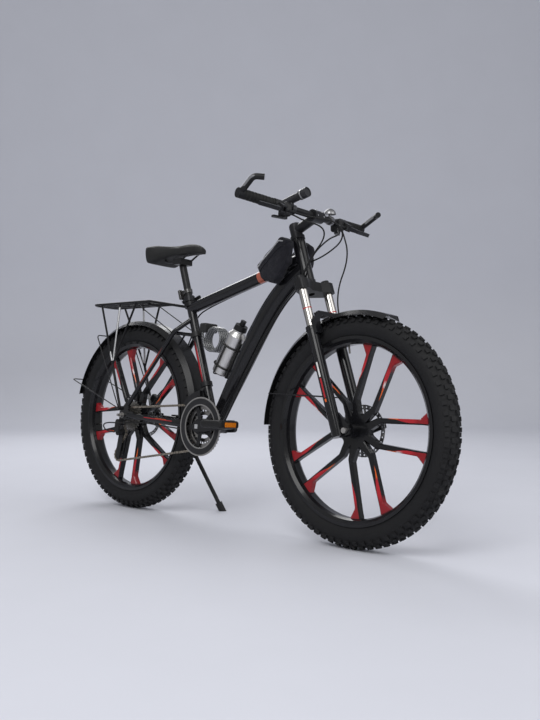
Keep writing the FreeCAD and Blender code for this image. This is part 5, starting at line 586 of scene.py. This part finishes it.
def woven_cloth(name, tone):
    """Plain weave with a slight heather."""
    shade = Shade(name)
    x, y, z = shade.upright()
    warp = ((x + z * 0.26) * 5.2).sine()
    weft = ((z - x * 0.26) * 5.2).sine()
    thread = warp * weft
    heather = shade.noise(500.0, 3.0)
    colour = shade.mix(heather, scaled(tone, 0.7), scaled(tone, 1.7))
    colour = shade.mix(thread.ramp(-1.0, 1.0) * 0.5, colour, scaled(tone, 0.55))
    folds = shade.noise(26.0, 2.0, 0.45, (1.0, 1.0, 2.2))
    height = thread * 0.0004 + heather * 0.00016 + folds * 0.012
    return shade.finish(colour, 0.86, normal=shade.bump(height, 1.0, 0.7), sheen_weight=0.06)


def grained_leather(name, tone):
    shade = Shade(name)
    pores = shade.cells(900.0, "DISTANCE_TO_EDGE").ramp(0.0, 0.22)
    shine = shade.noise(18.0, 4.0)
    colour = shade.mix(pores, scaled(tone, 0.6), scaled(tone, 1.5))
    height = pores + shade.noise(350.0) * 0.3
    return shade.finish(colour, 0.46 + shine * 0.2, normal=shade.bump(height, 0.00025, 0.6))


def smoky_sleeve(name):
    """Clear smoky sleeve over a twisted wire core."""
    shade = Shade(name)
    uv = shade.node("ShaderNodeUVMap", {"uv_map": "UVMap"}).outputs[0]
    parts = shade.node("ShaderNodeSeparateXYZ", None, {0: uv})
    u, v = Num(shade, parts.outputs[0]), Num(shade, parts.outputs[1])
    twist = ((u * 900.0 + v * 18.85).sine()).ramp(-0.5, 0.9)
    colour = shade.mix(twist, (0.045, 0.047, 0.05), (0.2, 0.205, 0.21))
    return shade.finish(colour, 0.14 + twist * 0.08, 0.0, coat_weight=1.0, coat_roughness=0.04)


def prism_plastic(name, tone):
    """Moulded reflector with a small prism pattern."""
    shade = Shade(name)
    cells = shade.cells(420.0)
    colour = shade.mix(cells.ramp(0.1, 0.6), scaled(tone, 0.45), scaled(tone, 1.2))
    return shade.finish(colour, 0.12, normal=shade.bump(cells, 0.0006, 0.8), coat_weight=0.8)


def drive_parts(name, dark, steel):
    """Chainrings: steel rings inside, dark guard ring outside, with pale painted highlights on the guard's
    outer and inner edges.
    """
    shade = Shade(name)
    x, y, z = shade.upright()
    radius = (x - BRACKET[0]).reach(z - BRACKET[1])
    guard = y < -70.5
    # painted highlight: pale rings along the guard's outer and inner edges
    edge_highlight = guard * (radius.ramp(96.0, 98.5) + (1.0 - radius.ramp(75.5, 78.0))).least(1.0)
    lines = (radius * 11.0).sine()
    colour = shade.mix(guard, shade.mix(shade.noise(60.0), steel, scaled(steel, 0.6)), dark)
    colour = shade.mix(edge_highlight * 0.8, colour, steel)
    return shade.finish(colour, 0.3 + guard * 0.04, 1.0 - guard * 0.6, normal=shade.bump(lines, 0.00003, 0.4))


def crank_alloy(name, dark, bright):
    """Satin black crank with a bright square bolt at the spindle."""
    shade = Shade(name)
    x, y, z = shade.upright()
    square = (abs(x - BRACKET[0]) < 7.5) * (abs(z - BRACKET[1]) < 7.5) * (abs(y) > 86.0)
    cloud = shade.noise(40.0, 4.0)
    colour = shade.mix(square, shade.mix(cloud, dark, scaled(dark, 1.8)), bright)
    return shade.finish(colour, 0.34 - square * 0.14 + cloud * 0.1, 0.3 + square * 0.7)


def lamp_finish(name, dark, bright):
    """Torch body: dark barrel with one bright ring."""
    shade = Shade(name)
    x, y, z = shade.upright()
    front = along_line(x, z, LAMP)
    ring = front.between(604.0, 608.0)
    cloud = shade.noise(45.0, 4.0)
    knurl = ((front * 1.6).sine() > 0.2) * front.between(560.0, 592.0)
    colour = shade.mix(ring, shade.mix(cloud, dark, scaled(dark, 2.0)), bright)
    return shade.finish(colour, 0.3 + cloud * 0.1, 0.4 + ring * 0.6, normal=shade.bump(knurl, 0.0004, 0.6))


def dress(material, *names):
    for name in names:
        data = NODES[name].data
        data.materials.clear()
        data.materials.append(material)


# Mesh helpers

def placed(name, data):
    made = bpy.data.objects.new(name, data)
    bpy.context.scene.collection.objects.link(made)
    return made


def taken(holder):
    """The mesh of a helper object with its modifiers applied; the helper is removed."""
    graph = bpy.context.evaluated_depsgraph_get()
    mesh = bpy.data.meshes.new_from_object(holder.evaluated_get(graph), depsgraph=graph)
    bpy.data.objects.remove(holder)
    return mesh


def smoothed(mesh):
    for face in mesh.polygons:
        face.use_smooth = True
    return mesh


def keep(name, data, body, material=None):
    """Links a finished mesh as a piece that rides on a body."""
    piece = placed(name, data)
    if material is not None:
        data.materials.clear()
        data.materials.append(material)
    if body:
        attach(piece, body)
    return piece


def spline(points, weight=3):
    data = bpy.data.curves.new("route", "CURVE")
    data.dimensions = "3D"
    run = data.splines.new("NURBS")
    run.points.add(len(points) - 1)
    for point, place in zip(run.points, points):
        point.co = (*place, 1.0)
    run.order_u = weight
    run.use_endpoint_u = True
    run.resolution_u = 10
    return data


def tube_mesh(points, radius, sides=3):
    """A smooth round tube on one spline, with capped ends and a UV map along it."""
    data = spline(points)
    data.bevel_depth = radius
    data.bevel_resolution = sides
    data.use_fill_caps = True
    return smoothed(taken(placed("route", data)))


def merged(meshes):
    joined = bmesh.new()
    for mesh in meshes:
        joined.from_mesh(mesh)
    data = bpy.data.meshes.new("joined")
    joined.to_mesh(data)
    joined.free()
    return smoothed(data)


def copied(node):
    """A welded copy of a CAD node's mesh."""
    work = bmesh.new()
    work.from_mesh(NODES[node].data)
    bmesh.ops.remove_doubles(work, verts=work.verts, dist=0.00002)
    data = bpy.data.meshes.new(node + "_copy")
    work.to_mesh(data)
    work.free()
    data.materials.clear()
    return data


def loose_parts(data):
    """Splits a welded mesh into one mesh for each separate shell."""
    work = bmesh.new()
    work.from_mesh(data)
    left = set(work.verts)
    groups = []
    while left:
        stack = [left.pop()]
        found = set(stack)
        while stack:
            for edge in stack.pop().link_edges:
                for vert in edge.verts:
                    if vert not in found:
                        found.add(vert)
                        left.discard(vert)
                        stack.append(vert)
        groups.append([v.index for v in found])
    work.free()
    meshes = []
    for group in groups:
        part = bmesh.new()
        part.from_mesh(data)
        part.verts.ensure_lookup_table()
        keepers = set(group)
        bmesh.ops.delete(part, geom=[v for v in part.verts if v.index not in keepers], context="VERTS")
        made = bpy.data.meshes.new("shell")
        part.to_mesh(made)
        part.free()
        meshes.append(made)
    return meshes


def puffed(data, voxel, shrink, pressure, cap, crease=0.0):
    """Pads a closed shell: a smaller remeshed copy is blown up by Cloth, its travel capped, then creased."""
    holder = placed("padding", data)
    remesh = holder.modifiers.new("remesh", "REMESH")
    remesh.mode = "VOXEL"
    remesh.voxel_size = voxel
    skin = taken(holder)
    work = bmesh.new()
    work.from_mesh(skin)
    bmesh.ops.recalc_face_normals(work, faces=work.faces)
    for vert in work.verts:
        vert.co -= vert.normal * shrink
    work.to_mesh(skin)
    work.free()
    skin.update()
    start = [v.co.copy() for v in skin.vertices]
    piece = placed("cloth", skin)
    cloth = piece.modifiers.new("cloth", "CLOTH")
    cloth.settings.use_pressure = True
    cloth.settings.uniform_pressure_force = pressure
    cloth.settings.tension_stiffness = CLOTH_TENSION
    cloth.settings.compression_stiffness = CLOTH_TENSION
    cloth.settings.shear_stiffness = CLOTH_SHEAR
    cloth.settings.effector_weights.gravity = 0.0
    scene = bpy.context.scene
    for number in range(1, CLOTH_FRAMES + 1):
        scene.frame_set(number)
    moved = [v.co.copy() for v in taken(piece).vertices]
    scene.frame_set(1)
    for vert, old, new in zip(skin.vertices, start, moved):
        step = new - old
        if step.length > cap:
            step = step.normalized() * cap
        vert.co = old + step
    smooth = bmesh.new()
    smooth.from_mesh(skin)
    for turn in range(3):
        bmesh.ops.smooth_vert(smooth, verts=smooth.verts, factor=0.5, use_axis_x=True, use_axis_y=True,
                              use_axis_z=True)
    smooth.normal_update()
    for vert in smooth.verts if crease else ():
        x, y, z = vert.co
        spot = (x * FOLD_ALONG + z * FOLD_SLANT, y * FOLD_ACROSS, z * FOLD_UP - x * FOLD_ALONG)
        fold = noise.noise(Vector(spot))
        vert.co += vert.normal * (crease * (abs(fold) * 2.0 - 0.6))
    smooth.to_mesh(skin)
    smooth.free()
    return smoothed(skin)


def repeat_tree():
    """Turned parts set on points: a cylinder on each vertex, along the vertex's axis attribute."""
    tree = bpy.data.node_groups.new("turned_parts_on_points", "GeometryNodeTree")
    face = tree.interface
    face.new_socket("Geometry", in_out="INPUT", socket_type="NodeSocketGeometry")
    sockets = {}
    for label, kind, start in (("Radius", "NodeSocketFloat", 0.004), ("Depth", "NodeSocketFloat", 0.003),
                               ("Sides", "NodeSocketInt", 6), ("Material", "NodeSocketMaterial", None)):
        made = face.new_socket(label, in_out="INPUT", socket_type=kind)
        if start is not None:
            made.default_value = start
        sockets[label] = made.identifier
    face.new_socket("Geometry", in_out="OUTPUT", socket_type="NodeSocketGeometry")
    new = tree.nodes.new
    source, result = new("NodeGroupInput"), new("NodeGroupOutput")
    axis = new("GeometryNodeInputNamedAttribute")
    axis.data_type = "FLOAT_VECTOR"
    axis.inputs["Name"].default_value = "axis"
    turn = new("FunctionNodeAlignEulerToVector")
    turn.axis = "Z"
    points = new("GeometryNodeMeshToPoints")
    head = new("GeometryNodeMeshCylinder")
    spread = new("GeometryNodeInstanceOnPoints")
    solid = new("GeometryNodeRealizeInstances")
    paint = new("GeometryNodeSetMaterial")
    link = tree.links.new
    link(source.outputs["Geometry"], points.inputs["Mesh"])
    link(points.outputs[0], spread.inputs["Points"])
    link(source.outputs["Radius"], head.inputs["Radius"])
    link(source.outputs["Depth"], head.inputs["Depth"])
    link(source.outputs["Sides"], head.inputs["Vertices"])
    link(head.outputs["Mesh"], spread.inputs["Instance"])
    link(axis.outputs[0], turn.inputs["Vector"])
    link(turn.outputs[0], spread.inputs["Rotation"])
    link(spread.outputs[0], solid.inputs[0])
    link(solid.outputs[0], paint.inputs["Geometry"])
    link(source.outputs["Material"], paint.inputs["Material"])
    link(paint.outputs[0], result.inputs[0])
    return tree, sockets


def repeated(name, body, places, radius, depth, sides, material):
    """One mesh of equal turned parts: places holds (point, direction) pairs."""
    if "turned" not in TREES:
        TREES["turned"] = repeat_tree()
    tree, sockets = TREES["turned"]
    data = bpy.data.meshes.new(name + "_points")
    data.from_pydata([p for p, d in places], [], [])
    held = data.attributes.new("axis", "FLOAT_VECTOR", "POINT")
    for index, (point, direction) in enumerate(places):
        held.data[index].vector = direction
    holder = placed(name + "_points", data)
    modifier = holder.modifiers.new("parts", "NODES")
    modifier.node_group = tree
    for label, value in (("Radius", radius), ("Depth", depth), ("Sides", sides), ("Material", material)):
        modifier[sockets[label]] = value
    mesh = taken(holder)
    piece = keep(name, mesh, body)
    if not len(mesh.materials):
        mesh.materials.append(material)
    bevel = piece.modifiers.new("bevel", "BEVEL")
    bevel.width = min(radius, depth) * 0.2
    bevel.segments = 2
    bevel.limit_method = "ANGLE"
    return piece


TREES = {}


def ring_places(centre, radius, count, y, degrees):
    """Places evenly spaced on a circle about an axle of the upright bike."""
    found = []
    for index in range(count):
        place = round_place(centre, radius, degrees + index * 360.0 / count, y)
        found.append((at(*place), way(0, 1, 0)))
    return found


# Operators

class BICYCLE_OT_frame(bpy.types.Operator):
    """Paints the frame, stays and fork"""
    bl_idname = "bicycle.frame"
    bl_label = "Paint the frame and fork"

    def execute(self, context):
        dress(gloss_paint("frame_paint", frame_accents), "main_frame")
        dress(gloss_paint("stay_paint", stay_accents), "rear_triangle")
        dress(gloss_paint("fork_paint", fork_accents), "fork_lowers")
        dress(satin_alloy("crown_black", (0.015, 0.015, 0.016)), "fork_crown")
        dress(ringed_chrome("stanchion_chrome", (0.5, 0.48, 0.46)), "fork_stanchions")
        headset = satin_alloy("headset_black", (0.016, 0.016, 0.018), 0.28)
        dress(headset, "headset", "bottom_bracket", "seat_clamp")
        return {"FINISHED"}


class BICYCLE_OT_wheels(bpy.types.Operator):
    """Finishes the cast wheels, tyres and discs"""
    bl_idname = "bicycle.wheels"
    bl_label = "Finish the wheels"

    def execute(self, context):
        sizes = context.scene.bicycle_sizes
        bright = bright_metal("bolt_steel", (0.55, 0.55, 0.56), 0.2)
        dull = bright_metal("valve_steel", (0.2, 0.19, 0.18), 0.3)
        for end, axle, disc_y, phase, valve in WHEELS:
            dress(cast_alloy(end + "_cast_wheel", axle, phase), end + "_wheel")
            dress(tyre_rubber(end + "_tread", axle), end + "_tyre")
            dress(turned_steel(end + "_disc", axle, (0.5, 0.5, 0.51)), end + "_rotor")
            dress(satin_alloy(end + "_axle_steel", (0.32, 0.31, 0.3), 0.3, 0.9), end + "_axle")
            heads = ring_places(axle, DISC_BOLT_CIRCLE, 6, disc_y + DISC_FACE, DISC_BOLT_TURN)
            repeated(end + "_disc_bolts", end + "_wheel", heads, sizes.small_bolt, 0.0024, 6, bright)
            start = Vector(round_place(axle, VALVE_FOOT, valve, 0.0))
            tip = Vector(round_place(axle, VALVE_TIP, valve, 0.0))
            stem = [at(*start.lerp(tip, s)) for s in (0.0, 0.5, 1.0)]
            keep(end + "_valve", tube_mesh(stem, VALVE_RADIUS), end + "_wheel", dull)
        return {"FINISHED"}


class BICYCLE_OT_drive(bpy.types.Operator):
    """Finishes the chain, sprockets, cranks, gears and pedals"""
    bl_idname = "bicycle.drive"
    bl_label = "Finish the drive train"

    def execute(self, context):
        dark = (0.03, 0.03, 0.032)
        dress(oily_steel("chain_steel", (0.36, 0.32, 0.27)), "chain")
        dress(oily_steel("sprocket_steel", (0.4, 0.39, 0.37)), "cassette")
        dress(drive_parts("chainring_steel", dark, (0.32, 0.31, 0.3)), "chainrings")
        dress(crank_alloy("crank_black", (0.016, 0.016, 0.017), (0.7, 0.7, 0.71)), "crank_arms")
        black = satin_alloy("gear_black", (0.018, 0.018, 0.019))
        dress(black, "rear_derailleur", "derailleur_cage", "front_derailleur", "front_derailleur_cage")
        dress(moulded_plastic("pulley_black", (0.02, 0.02, 0.021)), "guide_pulley", "tension_pulley")
        for name, tip in PEDALS:
            finish = pedal_finish(name + "_pedal_black", tip, (0.011, 0.011, 0.011), (0.85, 0.24, 0.015))
            dress(finish, name + "_pedal")
        return {"FINISHED"}


class BICYCLE_OT_cockpit(bpy.types.Operator):
    """Finishes the bars, grips, levers, bell and lamp"""
    bl_idname = "bicycle.cockpit"
    bl_label = "Finish the handlebar"

    def execute(self, context):
        sizes = context.scene.bicycle_sizes
        bright = bright_metal("stem_bolt_steel", (0.55, 0.55, 0.56), 0.22)
        dress(satin_alloy("stem_black", (0.02, 0.02, 0.022), 0.28, 0.4), "stem")
        dress(satin_alloy("bar_black", (0.014, 0.014, 0.015), 0.3), "handlebar")
        dress(soft_rubber("grip_rubber", (0.016, 0.016, 0.016)), "grips")
        dress(inlaid_black("bar_end_black", (0.012, 0.012, 0.013), (0.2, 0.2, 0.21)), "bar_ends")
        control = moulded_plastic("control_black", (0.017, 0.017, 0.018))
        dress(control, "control_pods", "right_shift_lever", "left_shift_lever")
        lever = satin_alloy("lever_black", (0.018, 0.018, 0.02), 0.26, 0.5)
        dress(lever, "right_brake_lever", "left_brake_lever")
        dress(brushed_alloy("bell_silver", (0.3, 0.3, 0.31)), "bell")
        dress(lamp_finish("lamp_dark", (0.03, 0.03, 0.033), (0.7, 0.7, 0.71)), "headlight")
        face = math.radians(STEM_FACE_SLOPE)
        ahead = Vector((math.cos(face), 0.0, math.sin(face)))
        high = Vector((-math.sin(face), 0.0, math.cos(face)))
        heads = []
        for y in (-STEM_BOLT_ACROSS, STEM_BOLT_ACROSS):
            for up in (-STEM_BOLT_UP, STEM_BOLT_UP):
                spot = STEM_CLAMP + ahead * STEM_FACE_OUT + high * up + Vector((0, y, 0))
                heads.append((at(*spot), way(*ahead)))
        repeated("stem_face_bolts", "steering", heads, sizes.small_bolt, 0.0036, 6, bright)
        top = on_fork(STEM_TOP, 0.0)
        repeated("stem_top_bolt", "steering", [(at(*top), way(STEER_UP[0], 0, STEER_UP[1]))],
                 sizes.bolt, 0.003, 6, bright)
        return {"FINISHED"}


class BICYCLE_OT_fittings(bpy.types.Operator):
    """Finishes the guards, rack, stand, seatpost, bottle and lock body"""
    bl_idname = "bicycle.fittings"
    bl_label = "Finish the fittings"

    def execute(self, context):
        dress(moulded_plastic("guard_black", (0.014, 0.014, 0.015), 0.26), "front_fender", "rear_fender")
        # the rack's pale strut is a painted reflection
        dress(black_with_painted_strut_reflection("rack_black", (0.01, 0.01, 0.011), (0.55, 0.55, 0.56)), "rear_rack")
        dress(satin_alloy("stand_black", (0.02, 0.02, 0.021), 0.36), "kickstand_leg", "kickstand_bracket")
        dress(satin_alloy("post_black", (0.016, 0.016, 0.017), 0.3), "seatpost", "saddle_rails")
        dress(satin_alloy("release_black", (0.02, 0.02, 0.021), 0.28, 0.5), "seat_qr_lever", "front_qr_lever")
        dress(satin_alloy("caliper_black", (0.017, 0.017, 0.018), 0.3, 0.4), "front_caliper", "rear_caliper")
        dress(prism_plastic("rear_reflector", (0.028, 0.026, 0.026)), "seat_reflector")
        dress(capped_alloy("bottle_alloy", (0.66, 0.65, 0.64), (0.014, 0.014, 0.015)), "water_bottle")
        dress(moulded_plastic("cage_black", (0.018, 0.018, 0.018)), "bottle_cage", "lock_body")
        return {"FINISHED"}


class BICYCLE_OT_cables(bpy.types.Operator):
    """Makes the brake and gear casings"""
    bl_idname = "bicycle.cables"
    bl_label = "Make the cables"

    def execute(self, context):
        radius = context.scene.bicycle_sizes.casing / 2
        rubber = soft_rubber("casing_black", (0.014, 0.014, 0.014))
        low, high = at(352, 0, 880), at(352, 0, 985)
        brake = tube_mesh([at(*p) for p in REAR_BRAKE_ROUTE], radius)
        brake = keep("rear_brake_casing", brake, None, rubber)
        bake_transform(brake)
        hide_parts("rear_brake_cable")
        routes = (REAR_SHIFT_ROUTE, FRONT_SHIFT_ROUTE)
        gears = merged([tube_mesh([at(*p) for p in route], radius) for route in routes])
        gears = keep("gear_casings", gears, None, rubber)
        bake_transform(gears)
        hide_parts("shift_cables")
        front = tube_mesh([at(*p) for p in FRONT_BRAKE_ROUTE], radius)
        front = keep("front_brake_casing", front, None, rubber)
        at(*on_fork(610, 18, 91))
        at(*on_fork(420, 18, 91))
        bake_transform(front)
        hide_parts("front_brake_cable")
        return {"FINISHED"}


class BICYCLE_OT_lock(bpy.types.Operator):
    """Makes the coiled lock cable"""
    bl_idname = "bicycle.lock"
    bl_label = "Make the lock cable"

    def execute(self, context):
        sizes = context.scene.bicycle_sizes
        points = []
        for index in range(COIL_TURNS * COIL_STEPS + COIL_STEPS * 3 // 4 + 1):
            turn = index / COIL_STEPS
            degrees = 180.0 + 360.0 * turn
            y = COIL_PITCH * (turn - (COIL_TURNS + 0.75) / 2)
            points.append(Vector(round_place(COIL_CENTRE, COIL_RADIUS, degrees, y)))
        first = (points[0] - points[1]).normalized()
        last = (points[-1] - points[-2]).normalized()
        points = [points[0] + first * COIL_TAIL, points[0] + first * COIL_TAIL * 0.5] + points
        points = points + [points[-1] + last * COIL_TAIL * 0.5, points[-1] + last * COIL_TAIL]
        route = [at(*p) for p in points]
        line = spline(route)
        line.resolution_u = 6
        path = [v.co.copy() for v in taken(placed("lock_route", line)).vertices]
        mesh = tube_mesh(route, sizes.lock_wire / 2, 4)
        cord = keep("lock_coil", mesh, "frame", smoky_sleeve("lock_sleeve"))
        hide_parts("lock_cable")
        return {"FINISHED"}


class BICYCLE_OT_saddle(bpy.types.Operator):
    """Pads the saddle"""
    bl_idname = "bicycle.saddle"
    bl_label = "Pad the saddle"

    def execute(self, context):
        tones = context.scene.bicycle_colours
        skin = puffed(copied("saddle"), voxel=0.0045, shrink=0.003, pressure=3.0, cap=0.005)
        level, down = at(*SADDLE_LEVEL), way(0.0, 0.0, -1.0)
        for vert in skin.vertices:
            back = min(1.0, max(0.0, (level.x - vert.co.x) / SADDLE_REAR_RUN))
            depth = max(0.0, (vert.co - level).dot(down))
            vert.co += down * (depth * SADDLE_REAR_SHARE * back * back * (3.0 - 2.0 * back))
        cover = grained_leather("saddle_cover", tones.leather)
        piece = keep("saddle_pad", skin, "seatpost", cover)
        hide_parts("saddle")
        return {"FINISHED"}


class BICYCLE_OT_bag(bpy.types.Operator):
    """Pads the top tube bag and lays its seams"""
    bl_idname = "bicycle.bag"
    bl_label = "Make the bag"

    def execute(self, context):
        sizes = context.scene.bicycle_sizes
        tones = context.scene.bicycle_colours
        cloth = woven_cloth("bag_cloth", tones.fabric)
        # painted highlight: the pale top tape stands for light along the bag's top edge
        pale = moulded_plastic("bag_edging", tones.piping, 0.5)
        shells = sorted(loose_parts(copied("frame_bag")), key=lambda m: -len(m.vertices))
        pockets = [puffed(shell, voxel=0.004, shrink=0.003, pressure=2.5, cap=0.006, crease=0.003)
                   for shell in shells[:2]]
        pads = merged(pockets)
        straps = merged(shells[2:])
        bag = keep("bag_pockets", pads, "frame", cloth)
        keep("bag_straps", straps, "frame", cloth)
        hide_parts("frame_bag")
        faces = [tuple(face.vertices) for face in pads.polygons]
        skin = BVHTree.FromPolygons([v.co for v in pads.vertices], faces)

        def laid(u, v, side):
            place = BAG_START + BAG_ALONG * (u * BAG_LENGTH) + BAG_ABOVE * (v * BAG_LENGTH)
            hit = skin.ray_cast(at(place.x, side * BAG_OUTSIDE, place.z), way(0.0, -side, 0.0))[0]
            face = hit or at(place.x, side * BAG_FACE, place.z)
            return face + way(0.0, side, 0.0) * sizes.piping * BAG_SEAM_LIFT

        def closer(run):
            pairs = [(Vector(a), Vector(b)) for a, b in zip(run, run[1:])]
            steps = range(BAG_SEAM_STEPS)
            return [a.lerp(b, step / BAG_SEAM_STEPS) for a, b in pairs for step in steps] + [Vector(run[-1])]

        edges = (("top_tape", 1.4, pale, TOP_HIGHLIGHT_RUN), ("zip_flap", 1.3, cloth, ZIP_FLAP),
                 ("lower_seam", 0.8, cloth, LOWER_SEAM))
        for side, label in ((RIGHT, "right"), (LEFT, "left")):
            for name, share, material, run in edges:
                mesh = tube_mesh([laid(u, v, side) for u, v in closer(run)], sizes.piping * share, 2)
                keep(label + "_bag_" + name, mesh, "frame", material)
        return {"FINISHED"}


class BICYCLE_OT_stage(bpy.types.Operator):
    """Sets the floor, lights and camera"""
    bl_idname = "bicycle.stage"
    bl_label = "Set the stage"

    def execute(self, context):
        tones = context.scene.bicycle_colours
        scene = context.scene
        scene.view_settings.view_transform = "Standard"
        work = bmesh.new()
        rows = []
        for step in range(FLOOR_STEPS + 1):
            turn = math.pi / 2 * step / FLOOR_STEPS
            rows.append((FLOOR_BEND_AT + FLOOR_BEND * math.sin(turn), FLOOR_BEND * (1 - math.cos(turn))))
        rows = [(-FLOOR_HALF, 0.0)] + rows + [(FLOOR_BEND_AT + FLOOR_BEND, FLOOR_TOP)]
        away = FLOOR_AWAY.normalized()
        side = Vector((away.y, -away.x, 0.0))
        lines = []
        for run, rise in rows:
            middle = away * run + Vector((0, 0, rise))
            lines.append([work.verts.new(middle + side * reach) for reach in (-FLOOR_HALF, FLOOR_HALF)])
        for a, b in zip(lines, lines[1:]):
            work.faces.new((a[0], a[1], b[1], b[0]))
        data = bpy.data.meshes.new("floor")
        work.to_mesh(data)
        work.free()
        floor = placed("floor", smoothed(data))
        shade = Shade("floor_paper")
        colour = shade.mix(shade.noise(3.0, 3.0), tones.floor, scaled(tones.floor, 1.05))
        data.materials.append(shade.finish(colour, 0.9))
        world = bpy.data.worlds.new("studio")
        scene.world = world
        world.use_nodes = True
        sky = world.node_tree.nodes["Background"]
        sky.inputs[0].default_value = SKY
        sky.inputs[1].default_value = SKY_STRENGTH
        for name, place, aim, size, power in LIGHTS:
            light = bpy.data.lights.new(name, "AREA")
            light.size = size
            light.energy = power
            lamp = placed(name, light)
            lamp.location = place
            lamp.rotation_euler = (Vector(aim) - Vector(place)).to_track_quat("-Z", "Y").to_euler()
        lens = bpy.data.cameras.new("camera")
        lens.sensor_width = SENSOR
        lens.sensor_fit = "AUTO"
        lens.lens = FOCAL_PIXELS * SENSOR / FRAME_PIXELS
        lens.clip_end = 60.0
        camera = placed("camera", lens)
        camera.location = CAMERA_PLACE
        camera.rotation_euler = (math.radians(CAMERA_TILT), 0.0, math.radians(CAMERA_TURN))
        scene.camera = camera
        return {"FINISHED"}


class BICYCLE_PT_panel(bpy.types.Panel):
    """Lists the bicycle's steps"""
    bl_idname = "BICYCLE_PT_panel"
    bl_label = "Bicycle"
    bl_space_type = "VIEW_3D"
    bl_region_type = "UI"
    bl_category = "Bicycle"

    def draw(self, context):
        for step in STEPS:
            self.layout.operator(step.bl_idname)


STEPS = (BICYCLE_OT_frame, BICYCLE_OT_wheels, BICYCLE_OT_drive, BICYCLE_OT_cockpit, BICYCLE_OT_fittings,
         BICYCLE_OT_cables, BICYCLE_OT_lock, BICYCLE_OT_saddle, BICYCLE_OT_bag, BICYCLE_OT_stage)
CLASSES = (BicycleSizes, BicycleColours) + STEPS + (BICYCLE_PT_panel,)


def register():
    for kind in CLASSES:
        bpy.utils.register_class(kind)
    bpy.types.Scene.bicycle_sizes = bpy.props.PointerProperty(type=BicycleSizes)
    bpy.types.Scene.bicycle_colours = bpy.props.PointerProperty(type=BicycleColours)


def unregister():
    del bpy.types.Scene.bicycle_sizes
    del bpy.types.Scene.bicycle_colours
    for kind in reversed(CLASSES):
        bpy.utils.unregister_class(kind)


def main():
    register()
    for step in STEPS:
        group, name = step.bl_idname.split(".")
        getattr(getattr(bpy.ops, group), name)()


if __name__ == "__main__":
    main()
